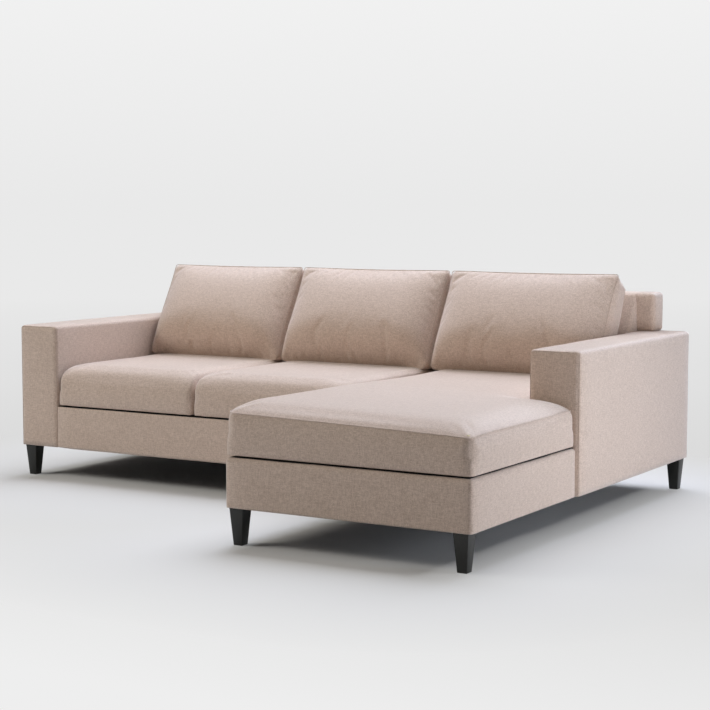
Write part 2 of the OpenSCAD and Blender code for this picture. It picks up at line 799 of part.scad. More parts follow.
module seat_core(p, seam) {
    c = core_in;
    z0 = base_top + seam_lift + c / 4;
    z1 = seam - c / 2;
    along_z(z0, z1) {
        translate([p[0] + c, p[2] + c])
            square([(notched(p) ? p[4] : p[1]) - p[0] - 2 * c, p[3] - p[2] - 2 * c]);
        if (notched(p))
            translate([p[0] + c, p[2] + c]) square([p[1] - p[0] - 2 * c, p[5] - notch_slant - p[2] - 2 * c]);
    }
}

module seat_cover(p, seam, runs) {
    color(fabric) difference() {
        seat_pad(p, seam, runs);
        seat_core(p, seam);
    }
}

// Back cushion: a front and a rear face of the same grid, joined by a band. At its foot the cushion
// lies flat on the seat, and at its top the band stands square to the face.
z_cushion = seat_top + rest_gap;
y_cushion = back_y(z_cushion) - back_cushion_t;
lean = [sin(back_lean), cos(back_lean)];
square_off = [cos(back_lean), -sin(back_lean)];
front_foot = [y_cushion, z_cushion];
front_head = front_foot + back_cushion_l * lean;
rear_head = front_head + band_w * square_off;
rear_foot = [y_cushion + band_w / cos(back_lean), z_cushion];
// The rear face swells until it meets the back's inner face
rear_crown = (back_y(rear_head[1]) - rear_head[0]) * cos(back_lean) - rest_gap;

function mixed(a, b, t) = a + (b - a) * t;
function face_point(x0, x1, i, j, foot, head, crown, d) = let (
        u = ease(i / cols), v = ease(j / rows),
        c = is_corner(i, j) ? corner_in : 0,
        inward = i == 0 ? 1 : (i == cols ? -1 : 0),
        x = mixed(x0, x1, u) + inward * (draw_in * sin(180 * v) + c + d),
        face_l = norm(head - foot),
        rise = swell(u * (x1 - x0), 150) * swell((1 - u) * (x1 - x0), 150)
            * swell(v * face_l, 150) * swell((1 - v) * face_l, 120),
        dip = (j == rows ? -draw_in * sin(180 * u) - c / 2 : 0),
        flat = mixed(foot, head, v) + lean * dip + crown * rise * square_off
    ) [x, flat[0], max(flat[1], z_cushion)];

module back_pad(x0, x1) {
    front = [for (j = [0 : rows], i = [0 : cols])
        face_point(x0, x1, i, j, front_foot, front_head, -front_crown, 0)];
    rear = [for (j = [0 : rows], i = [0 : cols])
        face_point(x0, x1, i, j, rear_foot, rear_head, rear_crown, 0)];
    belt = [for (m = [0 : rim_n - 1]) let (i = rim[m][0], j = rim[m][1],
            a = face_point(x0, x1, i, j, front_foot, front_head, 0, -draw_in * sin(180 * ease(j / rows))),
            b = face_point(x0, x1, i, j, rear_foot, rear_head, 0, -draw_in * sin(180 * ease(j / rows)))
        ) (a + b) / 2 + (j == rows ? [0, lean[0], lean[1]] * 4 : [0, 0, 0])];
    front_rim = rim_of(0);
    rear_rim = rim_of(grid_n);
    belt_ring = ring_of(2 * grid_n, 0);
    polyhedron(
        points = concat(front, rear, belt),
        faces = concat(
            grid_faces(0, true), grid_faces(grid_n, false),
            band_faces(front_rim, belt_ring), band_faces(belt_ring, rear_rim)
        )
    );
}

module back_core(x0, x1) {
    c = core_in;
    foot = front_foot + c * lean + c * square_off;
    head = front_head - c * lean + c * square_off;
    deep = band_w - 2 * c + rear_crown / 2;
    along_x(x0 + 2 * c, x1 - 2 * c) polygon([
        [foot[0], z_cushion + c / 2], head, head + deep * square_off / 2,
        mixed(foot, head, 0.5) + deep * square_off, [foot[0] + band_w - 2 * c, z_cushion + c / 2]
    ]);
}

module back_cushion_cover(x0, x1) {
    color(fabric) difference() {
        back_pad(x0, x1);
        back_core(x0, x1);
    }
}

// Left and right sides of the three back cushions
back_xs = [
    [x_in_left + side_gap, x_seat_split - side_gap],
    [x_seat_split + side_gap, x_love_end - side_gap],
    [x_chaise + side_gap, x_in_right - side_gap]
];

arm_cover(x_left);  // left_arm_cover
arm_posts(x_left);  // left_arm_posts
arm_rails(x_left, [love_legs[0], love_legs[1]]);  // left_arm_rails
arm_panels(x_left);  // left_arm_panels
back_cover(x_in_left, x_love_end, 0, lining_t, x_left + lap_inset, x_in_left);  // loveseat_back_cover
back_posts(love_posts);  // loveseat_back_posts
back_rails(x_left + lap_inset + pad_t, x_love_in, love_posts);  // loveseat_back_rails
back_panel(x_in_left, x_love_in);  // loveseat_back_panel
loveseat_long_rails();
loveseat_cross_rails();
loveseat_corner_blocks();
loveseat_springs();
loveseat_spring_clips();
loveseat_deck();
loveseat_dust_cover();
loveseat_base_cover();
leg(love_legs[0]);  // left_front_leg
leg(love_legs[1]);  // left_rear_leg
leg(love_legs[2]);  // middle_front_leg
leg(love_legs[3]);  // middle_rear_leg
leg_plates(love_legs);  // loveseat_leg_plates
loveseat_fasteners();
loveseat_connectors();
arm_cover(x_in_right);  // right_arm_cover
arm_posts(x_in_right);  // right_arm_posts
arm_rails(x_in_right, [chaise_legs[3]]);  // right_arm_rails
arm_panels(x_in_right);  // right_arm_panels
back_cover(x_chaise, x_in_right, lining_t, 0, x_in_right, x_right - lap_inset);  // chaise_back_cover
back_posts(chaise_posts);  // chaise_back_posts
back_rails(x_chaise + lining_t, x_right - lap_inset - pad_t, chaise_posts);  // chaise_back_rails
back_panel(x_chaise + lining_t, x_in_right);  // chaise_back_panel
chaise_long_rails();
chaise_cross_rails();
chaise_corner_blocks();
chaise_springs();
chaise_spring_clips();
chaise_deck();
chaise_dust_cover();
chaise_base_cover();
leg(chaise_legs[0]);  // chaise_front_left_leg
leg(chaise_legs[1]);  // chaise_front_right_leg
leg(chaise_legs[2]);  // chaise_rear_left_leg
leg(chaise_legs[3]);  // right_rear_leg
leg_plates(chaise_legs);  // chaise_leg_plates
chaise_fasteners();
chaise_connectors();
seat_cover(left_plan, seat_seam, love_runs);  // seat_left_cover
color(foam) seat_core(left_plan, seat_seam);  // seat_left_core
seat_cover(centre_plan, seat_seam, love_runs);  // seat_centre_cover
color(foam) seat_core(centre_plan, seat_seam);  // seat_centre_core
seat_cover(chaise_plan, chaise_seam, chaise_runs);  // chaise_seat_cover
color(foam) seat_core(chaise_plan, chaise_seam);  // chaise_seat_core
back_cushion_cover(back_xs[0][0], back_xs[0][1]);  // back_left_cover
color(foam) back_core(back_xs[0][0], back_xs[0][1]);  // back_left_core
back_cushion_cover(back_xs[1][0], back_xs[1][1]);  // back_centre_cover
color(foam) back_core(back_xs[1][0], back_xs[1][1]);  // back_centre_core
back_cushion_cover(back_xs[2][0], back_xs[2][1]);  // back_right_cover
color(foam) back_core(back_xs[2][0], back_xs[2][1]);  // back_right_core
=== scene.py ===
"""Upholstery, timber and steel finishes for an L-shaped sectional sofa, modelled round its frame. Metres."""
import math

import bpy
import numpy as np
from bpy.props import FloatProperty, FloatVectorProperty, IntProperty, PointerProperty
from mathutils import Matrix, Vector, kdtree, noise


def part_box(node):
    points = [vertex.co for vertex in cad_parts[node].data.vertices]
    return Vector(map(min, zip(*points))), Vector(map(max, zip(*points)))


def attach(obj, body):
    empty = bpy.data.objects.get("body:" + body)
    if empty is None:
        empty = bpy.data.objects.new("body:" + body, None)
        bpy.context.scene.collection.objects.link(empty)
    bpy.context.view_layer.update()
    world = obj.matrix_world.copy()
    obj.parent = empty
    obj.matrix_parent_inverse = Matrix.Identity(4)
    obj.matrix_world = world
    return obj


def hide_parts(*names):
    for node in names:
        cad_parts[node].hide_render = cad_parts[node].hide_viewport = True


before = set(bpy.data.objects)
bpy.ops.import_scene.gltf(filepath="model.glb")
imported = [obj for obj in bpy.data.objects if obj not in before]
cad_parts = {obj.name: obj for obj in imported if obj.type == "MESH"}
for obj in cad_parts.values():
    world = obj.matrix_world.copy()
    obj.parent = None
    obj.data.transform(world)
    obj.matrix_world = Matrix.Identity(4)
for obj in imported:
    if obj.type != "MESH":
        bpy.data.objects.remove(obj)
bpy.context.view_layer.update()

bl_info = {
    "name": "L-shaped sofa upholstery",
    "version": (1, 0, 0),
    "blender": (4, 5, 0),
    "location": "3D View > Sidebar > Sofa",
    "description": "Covers, cushions, legs and finishes of a two-section sofa",
    "category": "Object",
}

# Camera of the photograph: its place, its turn from +Y and tilt down, and its lens on a 36 mm sensor
CAMERA_PLACE = (3.541, -5.464, 1.124)
CAMERA_YAW = math.radians(30.87)
CAMERA_PITCH = math.radians(5.10)
CAMERA_LENS = 86.34

# Lean of the back from upright, and its thickness along its top
BACK_LEAN = math.radians(24)
BACK_T = 0.105
# A back cushion's lean, the length of its face, the width of its band, and its depth where it meets the seat
CUSHION_LEAN = math.radians(25.6)
FACE_L = 0.440
BAND_W = 0.107
FOOT_T = 0.210
# How far its front swells, how far it turns in again at the middle of its foot, and how far the foot comes
# forward
BELLY = 0.078
UNDER = 0.076
FOOT_OUT = 0.024
# Runs of that swell from the sides, the foot and the top, and the height of the part that turns in
SIDE_RUN = 0.18
FOOT_RUN = 0.17
TOP_RUN = 0.42
UNDER_RUN = 0.19
# Runs of the rear's swell from the foot and the top
REAR_FOOT_RUN = 0.15
REAR_TOP_RUN = 0.12
# Its ears at the top: their reach, how far they pull the band down and forwards, and the front's corners out
EAR = 0.065
EAR_DOWN = 0.022
EAR_IN = 0.006
EAR_OUT = 0.007
# Height of the top seam along the fronts of the plain seats and of the chaise's seat
SEAT_SEAM = 0.418
CHAISE_SEAM = 0.436
# Thickness of a padded cover, and of the plain lining between the sections
PAD_T = 0.012
LINING_T = 0.003
# How far the back's end runs over the arm in front of its lap
CHEEK = 0.008
# How far the back's raised ends run on inside the back
TUCK = 0.03

# Boxes of the frame's covers
ARM_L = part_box("left_arm_cover")
ARM_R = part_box("right_arm_cover")
BACK_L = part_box("loveseat_back_cover")
BACK_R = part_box("chaise_back_cover")
RAIL_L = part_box("loveseat_base_cover")
RAIL_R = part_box("chaise_base_cover")
Y_REAR = BACK_L[1].y
BACK_TOP = BACK_L[1].z
ARM_TOP = ARM_L[1].z
BASE_TOP = RAIL_L[1].z
LEG_H = ARM_L[0].z


def back_y(z):
    """Depth of the back's leaning inner face at a height."""
    return Y_REAR - BACK_T - (BACK_TOP - z) * math.tan(BACK_LEAN)


def linear(hex_colour):
    """An sRGB hex colour as linear red, green, blue and alpha."""
    parts = [int(hex_colour[k:k + 2], 16) / 255 for k in (0, 2, 4)]
    return [c / 12.92 if c <= 0.04045 else ((c + 0.055) / 1.055) ** 2.4 for c in parts] + [1.0]


def colour_property(name, about, hex_colour):
    """A colour that the user may change."""
    return FloatVectorProperty(name=name, description=about, subtype="COLOR", size=4, min=0, max=1,
                               default=linear(hex_colour))


def length_property(name, about, default):
    """A length that the user may change."""
    return FloatProperty(name=name, description=about, default=default, min=0, unit="LENGTH", precision=4)


class SofaColours(bpy.types.PropertyGroup):
    """Colours of the sofa's finishes and of the studio."""
    linen: colour_property("Linen", "Upholstery fabric", "CBB2A0")
    slub: colour_property("Slub", "Thicker, paler threads in the fabric", "EBD9CA")
    # Also mixed into the seams' linen as painted shade of their grooves
    shade: colour_property("Shade", "Darker threads in the fabric", "A28B79")
    lining: colour_property("Lining", "Dust cover, deck and hidden sides", "2B2927")
    timber: colour_property("Timber", "Softwood rails and posts", "C9A878")
    grain: colour_property("Grain", "Late wood in the timber", "A57F4E")
    board: colour_property("Board", "Fibre boards", "8C6A47")
    black_wood: colour_property("Ebonised wood", "Legs", "10110E")
    steel: colour_property("Steel", "Springs, plates and screws", "A9ABAE")
    foam: colour_property("Foam", "Cushion cores", "E8DCAE")
    floor: colour_property("Floor", "Floor round the sofa", "DEDEDE")
    # Tones that the camera sees on the floor: darker beside the sofa as painted shade, and paler in front of
    # it as painted light
    near_floor_painted_shade: colour_property("Near floor", "Backdrop's tone beside the sofa", "DADADA")
    front_floor_painted_light: colour_property("Front floor", "Backdrop's tone in front of the sofa", "EEEEEE")
    far_floor: colour_property("Far floor", "Backdrop's tone a few metres behind the sofa", "E1E1E1")
    backdrop: colour_property("Backdrop", "Backdrop behind the sofa", "E9E9E9")
    sky: colour_property("High backdrop", "Backdrop above the sofa", "F1F1F1")


class SofaSizes(bpy.types.PropertyGroup):
    """Sizes of the upholstery that the frame doesn't set."""
    cover_round: length_property("Cover rounding", "Radius of the padded covers' edges", 0.014)
    cover_crown: length_property("Cover crown", "How far a padded panel swells", 0.003)
    seam_radius: length_property("Seam radius", "Half the width of a seam's ridge", 0.0014)
    leg_top: length_property("Leg top", "Width of a leg under the base", 0.054)
    leg_foot: length_property("Leg foot", "Width of a leg on the floor", 0.034)
    leg_edge: length_property("Leg edge", "Rounding of a leg's edges", 0.0022)
    voxel: length_property("Cushion mesh", "Spacing of a cushion's points before it is inflated", 0.009)
    puff: length_property("Puff", "Furthest that a cushion's fabric swells", 0.012)
    draw_in: length_property("Draw-in", "How far a cushion's seams run in between its corners", 0.006)
    frames: IntProperty(name="Frames", description="Steps of the cushions' inflation", default=20, min=1)


def colours():
    return bpy.context.scene.sofa_colours


def sizes():
    return bpy.context.scene.sofa_sizes


# Materials

def add_node(tree, kind, settings=None, links=None):
    """Adds a node to a tree, sets its attributes or sockets, and links its sockets to outputs."""
    node = tree.nodes.new(kind)
    for key, value in (settings or {}).items():
        if isinstance(key, int) or key[0].isupper():
            node.inputs[key].default_value = value
        else:
            setattr(node, key, value)
    for key, output in (links or {}).items():
        tree.links.new(output, node.inputs[key])
    return node


def new_material(name, roughness, metallic=0.0, specular=0.5):
    """An empty material: itself, its tree, its shader and its Object coordinates."""
    material = bpy.data.materials.new(name)
    material.use_nodes = True
    tree = material.node_tree
    shader = tree.nodes["Principled BSDF"]
    shader.inputs["Roughness"].default_value = roughness
    shader.inputs["Metallic"].default_value = metallic
    shader.inputs["Specular IOR Level"].default_value = specular
    return material, tree, shader, add_node(tree, "ShaderNodeTexCoord").outputs["Object"]


def grained(tree, place, lengths, detail=2.0):
    """Noise whose features have these lengths along X, Y and Z."""
    scaled = add_node(tree, "ShaderNodeMapping", {"Scale": [1 / size for size in lengths]}, {"Vector": place})
    return add_node(tree, "ShaderNodeTexNoise", {"Scale": 1.0, "Detail": detail},
                    {"Vector": scaled.outputs["Vector"]}).outputs["Fac"]


def total(tree, outputs):
    """The sum of several outputs."""
    result = outputs[0]
    for output in outputs[1:]:
        result = add_node(tree, "ShaderNodeMath", {"operation": "ADD"}, {0: result, 1: output}).outputs[0]
    return result


def between(tree, value, low, high, top=1.0):
    """A value mapped from a range to 0 to top."""
    return add_node(tree, "ShaderNodeMapRange", {"From Min": low, "From Max": high, "To Max": top},
                    {"Value": value}).outputs["Result"]


def mix(tree, share, colour_a, colour_b):
    """The colour that lies between two by a share, where each may be a value or an output."""
    given = {0: share, 6: colour_a, 7: colour_b}
    links = {key: value for key, value in given.items() if isinstance(value, bpy.types.NodeSocket)}
    rest = {key: value for key, value in given.items() if key not in links}
    return add_node(tree, "ShaderNodeMix", {"data_type": "RGBA", **rest}, links).outputs[2]


def finish(tree, shader, colour, height, strength, distance):
    """Gives a shader its colour and raises it by a height."""
    tree.links.new(colour, shader.inputs["Base Color"])
    raised = add_node(tree, "ShaderNodeBump", {"Strength": strength, "Distance": distance},
                      {"Height": height})
    tree.links.new(raised.outputs["Normal"], shader.inputs["Normal"])


# Slubs run 18 mm along a thread and 3.5 mm across. The threads are drawn 2 mm apart, coarser than the
# cloth's 0.8 mm, so that they show. Soft clouds of tone are 0.25 m across
SLUB_L = 0.018
SLUB_W = 0.0035
THREAD = 0.002
CLOUD = 0.25


def linen_material(name, lean=0.0, painted_seam_shade=0.0):
    """Linen-look polyester, plain woven and piece-dyed: matt, slubbed both ways, with a pale bloom."""
    material, tree, shader, place = new_material(name, 0.9, specular=0.25)
    turned = add_node(tree, "ShaderNodeMapping", {"Rotation": (lean, 0, 0)},
                      {"Vector": place}).outputs["Vector"]
    threads = [grained(tree, turned, [THREAD] * 3, detail=0.0)]
    for axis in range(3):
        lengths = [SLUB_W] * 3
        lengths[axis] = SLUB_L
        threads.append(grained(tree, turned, lengths, detail=1.0))
    weave = total(tree, threads)
    palette = colours()
    cloth = mix(tree, between(tree, weave, 1.55, 2.45), palette.shade, palette.slub)
    toned = mix(tree, 0.5, palette.linen, cloth)
    cloud = between(tree, grained(tree, place, [CLOUD] * 3), 0.35, 0.75, top=0.08)
    clouded = mix(tree, cloud, toned, palette.shade)
    # A share of the darker tone over the cloth paints the shade of a seam's groove
    finish(tree, shader, mix(tree, painted_seam_shade, clouded, palette.shade), weave, 0.3, 0.0006)
    shader.inputs["Sheen Weight"].default_value = 0.6
    shader.inputs["Sheen Roughness"].default_value = 0.6
    shader.inputs["Sheen Tint"].default_value = linear("FCFCFF")
    return material


def lining_material(name):
    """Black non-woven polypropylene, point bonded: dull, with a fine grid of pressed dots 2.5 mm apart."""
    material, tree, shader, place = new_material(name, 0.8, specular=0.3)
    dots = add_node(tree, "ShaderNodeTexVoronoi", {"Scale": 1 / 0.0025, "Randomness": 0.15},
                    {"Vector": place}).outputs["Distance"]
    colour = mix(tree, between(tree, dots, 0.1, 0.6), linear("191817"), colours().lining)
    finish(tree, shader, colour, dots, 0.5, 0.0004)
    return material


def timber_material(name):
    """Kiln-dried softwood, sawn and planed: pale, with lines of late wood 5 mm apart."""
    material, tree, shader, place = new_material(name, 0.62)
    rings = grained(tree, place, (0.35, 0.35, 0.005), detail=3.0)
    pores = grained(tree, place, (0.02, 0.02, 0.0012))
    colour = mix(tree, between(tree, rings, 0.42, 0.62), colours().timber, colours().grain)
    finish(tree, shader, colour, total(tree, [rings, pores]), 0.25, 0.0006)
    return material


def board_material(name):
    """Hard fibre board, pressed from brown pulp: flat, flecked every 3 mm."""
    material, tree, shader, place = new_material(name, 0.7)
    flecks = grained(tree, place, [0.003] * 3, detail=4.0)
    colour = mix(tree, between(tree, flecks, 0.35, 0.7), colours().board, linear("5E452C"))
    finish(tree, shader, colour, flecks, 0.2, 0.0003)
    return material


def black_wood_material(name):
    """Rubberwood, stained black and sprayed with satin lacquer: near black, with its grain just felt."""
    material, tree, shader, place = new_material(name, 0.42, specular=0.35)
    grain = grained(tree, place, (0.0016, 0.0016, 0.06), detail=3.0)
    colour = mix(tree, between(tree, grain, 0.35, 0.75), colours().black_wood, linear("1D1E1A"))
    finish(tree, shader, colour, grain, 0.18, 0.0003)
    shader.inputs["Coat Weight"].default_value = 0.12
    shader.inputs["Coat Roughness"].default_value = 0.3
    return material


def steel_material(name):
    """Spring steel and pressed plate, oiled: grey metal with a drawn grain 0.8 mm across."""
    material, tree, shader, place = new_material(name, 0.38, metallic=1.0)
    drawn = grained(tree, place, (0.02, 0.0008, 0.0008))
    colour = mix(tree, between(tree, drawn, 0.3, 0.7), colours().steel, linear("86888B"))
    finish(tree, shader, colour, drawn, 0.1, 0.0002)
    return material


def foam_material(name):
    """Polyurethane foam, cut by wire: pale yellow, with open cells drawn 2 mm across."""
    material, tree, shader, place = new_material(name, 0.95, specular=0.2)
    cells = add_node(tree, "ShaderNodeTexVoronoi", {"Scale": 1 / 0.002},
                     {"Vector": place}).outputs["Distance"]
    colour = mix(tree, between(tree, cells, 0.0, 0.7), linear("CDBE8B"), colours().foam)
    finish(tree, shader, colour, cells, 0.6, 0.0008)
    return material


def finish_named(name):
    """The finish of that name, made when it is first asked for."""
    makers = {
        "woven_linen": linen_material,
        "woven_linen_leant": lambda n: linen_material(n, lean=-BACK_LEAN),
        # The seams' linen is darkened by painted shade of their grooves
        "woven_linen_seam": lambda n: linen_material(n, painted_seam_shade=0.15),
        "pressed_lining": lining_material,
        "planed_softwood": timber_material,
        "pressed_fibre_board": board_material,
        "lacquered_rubberwood": black_wood_material,
        "oiled_steel": steel_material,
        "cut_foam": foam_material,
    }
    return bpy.data.materials.get(name) or makers[name](name)


# Modelling

def only(obj):
    """Selects one object alone and makes it active."""
    bpy.ops.object.select_all(action="DESELECT")
    obj.select_set(True)
    bpy.context.view_layer.objects.active = obj


def keep(obj, name):
    """Names a new primitive and puts its place into its mesh."""
    obj.name = obj.data.name = name
    bpy.ops.object.transform_apply(location=True, rotation=True, scale=True)
    return obj


def modify(obj, kind, **settings):
    """Adds a modifier and applies it."""
    modifier = obj.modifiers.new(kind.title(), kind)
    for key, value in settings.items():
        setattr(modifier, key, value)
    only(obj)
    bpy.ops.object.modifier_apply(modifier=modifier.name)


def points_of(obj):
    """The places of a mesh's points."""
    co = np.empty(len(obj.data.vertices) * 3)
    obj.data.vertices.foreach_get("co", co)
    return co.reshape(-1, 3)


def place_points(obj, co):
    """Moves a mesh's points."""
    obj.data.vertices.foreach_set("co", np.asarray(co).ravel())
    obj.data.update()


def normals_of(obj):
    """The normals at a mesh's points."""
    out = np.empty(len(obj.data.vertices) * 3)
    obj.data.vertex_normals.foreach_get("vector", out)
    return out.reshape(-1, 3)


def delete_faces(obj, test):
    """Deletes the faces whose centre and normal pass a test."""
    only(obj)
    bpy.ops.object.mode_set(mode="EDIT")
    bpy.ops.mesh.select_mode(type="FACE")
    bpy.ops.mesh.select_all(action="DESELECT")
    bpy.ops.object.mode_set(mode="OBJECT")
    for face in obj.data.polygons:
        face.select = test(face.center, face.normal)
    bpy.ops.object.mode_set(mode="EDIT")
    bpy.ops.mesh.delete(type="FACE")
    bpy.ops.object.mode_set(mode="OBJECT")


def rings(low, high, near, far, cells):
    """Places of a rounded box's rings along one side: close in its two roundings, even between."""
    turn = [1 - math.tan(math.radians(angle)) for angle in (45, 30, 15)]
    inner = np.linspace(low + near, high - far, cells - 5)
    return np.array([low + near * t for t in turn] + list(inner) + [high - far * t for t in reversed(turn)])


def rounded_box(name, low, high, radius, cells=28, far=None, axis=2):
    """A cube, subdivided and drawn in to round edges, which may differ towards the far end of one axis."""
    low, high = np.array(low, float), np.array(high, float)
    radius = min(radius, 0.49 * (high - low).min())
    far = far or radius
    bpy.ops.object.select_all(action="DESELECT")
    bpy.ops.mesh.primitive_cube_add(size=1, location=(low + high) / 2, scale=high - low)
    obj = keep(bpy.context.object, name)
    bpy.ops.object.mode_set(mode="EDIT")
    bpy.ops.mesh.select_all(action="SELECT")
    bpy.ops.mesh.subdivide(number_cuts=cells - 1)
    bpy.ops.object.mode_set(mode="OBJECT")
    co = points_of(obj)
    for k in range(3):
        step = np.rint((co[:, k] - low[k]) / (high[k] - low[k]) * cells).astype(int)
        co[:, k] = rings(low[k], high[k], radius, far if k == axis else radius, cells)[step]
    middle = (low[axis] + high[axis] + radius - far) / 2
    own = np.where(co[:, axis] > middle, far, radius)[:, None]
    core = np.clip(co, low + own, high - own)
    out = co - core
    place_points(obj, core + out * (own / np.linalg.norm(out, axis=1, keepdims=True)))
    return obj


def smooth(t):
    """A soft step from 0 to 1."""
    t = np.clip(t, 0, 1)
    return t * t * (3 - 2 * t)


def swell(distance, run):
    """The rise of a padded panel from its edge to its crown, over a run."""
    return 1 - (1 - np.clip(distance / run, 0, 1)) ** 2.4


def crown_panels(obj, low, high, amount, flat=(), run=0.11):
    """Swells the panels of a box a little, most at their middles. Those named, such as -x, stay flat."""
    co = points_of(obj)
    low, high = np.array(low), np.array(high)
    rise = np.zeros_like(co)
    for axis in range(3):
        others = [k for k in range(3) if k != axis]
        share = np.ones(len(co))
        for k in others:
            reach = min(run, (high[k] - low[k]) / 2)
            share *= swell(co[:, k] - low[k], reach) * swell(high[k] - co[:, k], reach)
        for side, sign, plane in ((-1, "-", low[axis]), (1, "+", high[axis])):
            near = np.abs(co[:, axis] - plane) < 1e-5
            if sign + "xyz"[axis] not in flat:
                rise[near, axis] += side * amount * share[near]
    place_points(obj, co + rise)


def ripple(obj, amount, length, seed):
    """Moves a mesh's points along their normals by soft noise, as padding under cloth does."""
    co, normals = points_of(obj), normals_of(obj)
    shift = Vector((seed * 3.1, seed * 1.7, seed * 2.3))
    waves = np.array([noise.noise(Vector(p) / length + shift) for p in co])
    place_points(obj, co + normals * (amount * waves)[:, None])


def dress(obj, material, body, slot, *nodes):
    """Gives a finished piece its material and body, and hides the nodes that it stands for. Its slot is not
    used.
    """
    obj.data.materials.clear()
    obj.data.materials.append(finish_named(material))
    only(obj)
    bpy.ops.object.shade_smooth_by_angle(angle=math.radians(50))
    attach(obj, body)
    if nodes:
        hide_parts(*nodes)
    return obj


def ridge(name, paths, body, closed=True):
    """The fine ridges of sewn seams, along closed or open paths, in a darker linen that paints the shade of
    their grooves.
    """
    curve = bpy.data.curves.new(name, "CURVE")
    curve.dimensions = "3D"
    curve.bevel_depth = sizes().seam_radius
    curve.bevel_resolution = 1
    curve.use_fill_caps = True
    for path in paths:
        spline = curve.splines.new("POLY")
        spline.points.add(len(path) - 1)
        spline.points.foreach_set("co", np.column_stack([path, np.ones(len(path))]).ravel())
        spline.use_cyclic_u = closed
    obj = bpy.data.objects.new(name, curve)
    bpy.context.scene.collection.objects.link(obj)
    only(obj)
    bpy.ops.object.convert(target="MESH")
    obj = bpy.context.object
    return dress(obj, "woven_linen_seam", body, "linen")


def outline(corners, radii, step=0.006):
    """A closed path round corners in a plane, each rounded by its radius, with points a step apart."""
    path = []
    count = len(corners)
    for k, corner in enumerate(np.array(corners, float)):
        before = np.array(corners[k - 1], float) - corner
        after = np.array(corners[(k + 1) % count], float) - corner
        before, after = before / np.linalg.norm(before), after / np.linalg.norm(after)
        centre = corner + (before + after) * radii[k]
        for angle in np.linspace(0, math.pi / 2, 7):
            path.append(centre - after * radii[k] * math.cos(angle) - before * radii[k] * math.sin(angle))
    dense = []
    for a, b in zip(path, path[1:] + path[:1]):
        pieces = max(1, int(np.linalg.norm(b - a) / step))
        dense += [a + (b - a) * t / pieces for t in range(pieces)]
    return np.array(dense)


# Padded covers

# Height and length of the soft waves in a padded panel, and the rounding of a thin one
RIPPLE = 0.0008
RIPPLE_L = 0.16
THIN_ROUND = 0.0058


def padded_block(name, low, high, body, *nodes, seed=0, flat=(), radius=None, material="woven_linen",
                 slot="linen"):
    """A padded cover over a box-shaped frame, with rounded edges and swelled panels."""
    size = sizes()
    obj = rounded_box(name, low, high, radius or size.cover_round)
    crown_panels(obj, low, high, size.cover_crown, flat)
    ripple(obj, RIPPLE, RIPPLE_L, seed)
    return dress(obj, material, body, slot, *nodes)


def hollow(obj, low, high):
    """Opens a cover underneath, between two corners, and gives what is left a wall."""
    co = points_of(obj)
    co[:, 2] = np.maximum(co[:, 2], low[2])
    place_points(obj, co)
    delete_faces(obj, lambda c, n: c.z < low[2] + 1e-4 and low[0] + PAD_T < c.x < high[0] - PAD_T
                 and low[1] + PAD_T < c.y < high[1] - PAD_T)
    modify(obj, "SOLIDIFY", thickness=PAD_T / 2, offset=-1)


def lowered(low):
    """A box's low corner, lowered so that its bottom edges come out square."""
    return (low.x, low.y, low.z - sizes().cover_round)


def front_seam(name, low, high, body):
    """The seam round the front panel of an arm."""
    inset = 0.27 * sizes().cover_round
    x0, x1, z0, z1 = low.x + inset, high.x - inset, low.z - 0.002, high.z - inset
    path = outline([(x0, z0), (x1, z0), (x1, z1), (x0, z1)], [0.001, 0.001, 0.011, 0.011])
    y = low.y + inset
    path = np.column_stack([path[:, 0], np.full(len(path), y), np.maximum(path[:, 1], low.z)])
    return ridge(name, [path], body)


class SOFA_OT_arms(bpy.types.Operator):
    """Covers both arms, with a seam round each front panel"""
    bl_idname = "sofa.arms"
    bl_label = "Arms"

    def execute(self, context):
        arms = (("left", ARM_L, "loveseat", "+x", 1), ("right", ARM_R, "chaise", "-x", 2))
        for side, box, body, inner, seed in arms:
            arm = padded_block(f"{side}_arm", lowered(box[0]), box[1], body, f"{side}_arm_cover", seed=seed,
                               flat=(inner, "-z"))
            hollow(arm, *box)
            front_seam(f"{side}_arm_seam", box[0], box[1], body)
        return {"FINISHED"}


def lean_back(obj):
    """Turns an upright block behind the seats into the back's wedge."""
    co = points_of(obj)
    front = (Y_REAR - co[:, 1]) / BACK_T
    drop = BACK_TOP - np.clip(co[:, 2], BASE_TOP, BACK_TOP)
    co[:, 1] -= front * drop * math.tan(BACK_LEAN)
    place_points(obj, co)


class SOFA_OT_backs(bpy.types.Operator):
    """Covers both halves of the back: a leaning wedge, the end that laps over the arm, and the apron below"""
    bl_idname = "sofa.backs"
    bl_label = "Backs"

    def execute(self, context):
        inner = {"loveseat": (ARM_L[1].x - CHEEK, BACK_L[1].x), "chaise": (BACK_R[0].x, ARM_R[0].x + CHEEK)}
        laps = {"loveseat": (BACK_L[0].x, ARM_L[1].x + TUCK), "chaise": (ARM_R[0].x - TUCK, BACK_R[1].x)}
        front = Y_REAR - BACK_T
        for body, seed in (("loveseat", 3), ("chaise", 4)):
            x0, x1 = inner[body]
            joined = "+x" if body == "loveseat" else "-x"
            wedge = padded_block(f"{body}_back", (x0, front, BASE_TOP), (x1, Y_REAR, BACK_TOP), body,
                                 f"{body}_back_cover", seed=seed, flat=(joined, "-y", "-z"))
            lean_back(wedge)
            other = "-x" if body == "chaise" else "+x"
            low, high = laps[body]
            padded_block(f"{body}_back_end", (low, front, ARM_TOP), (high, Y_REAR, BACK_TOP), body,
                         seed=seed, flat=(other, "-z"))
            padded_block(f"{body}_rear_apron", (x0, Y_REAR - PAD_T, LEG_H), (x1, Y_REAR, BASE_TOP + 0.03),
                         body, seed=seed + 4, radius=THIN_ROUND, flat=("-x", "+x", "-y"))
        return {"FINISHED"}


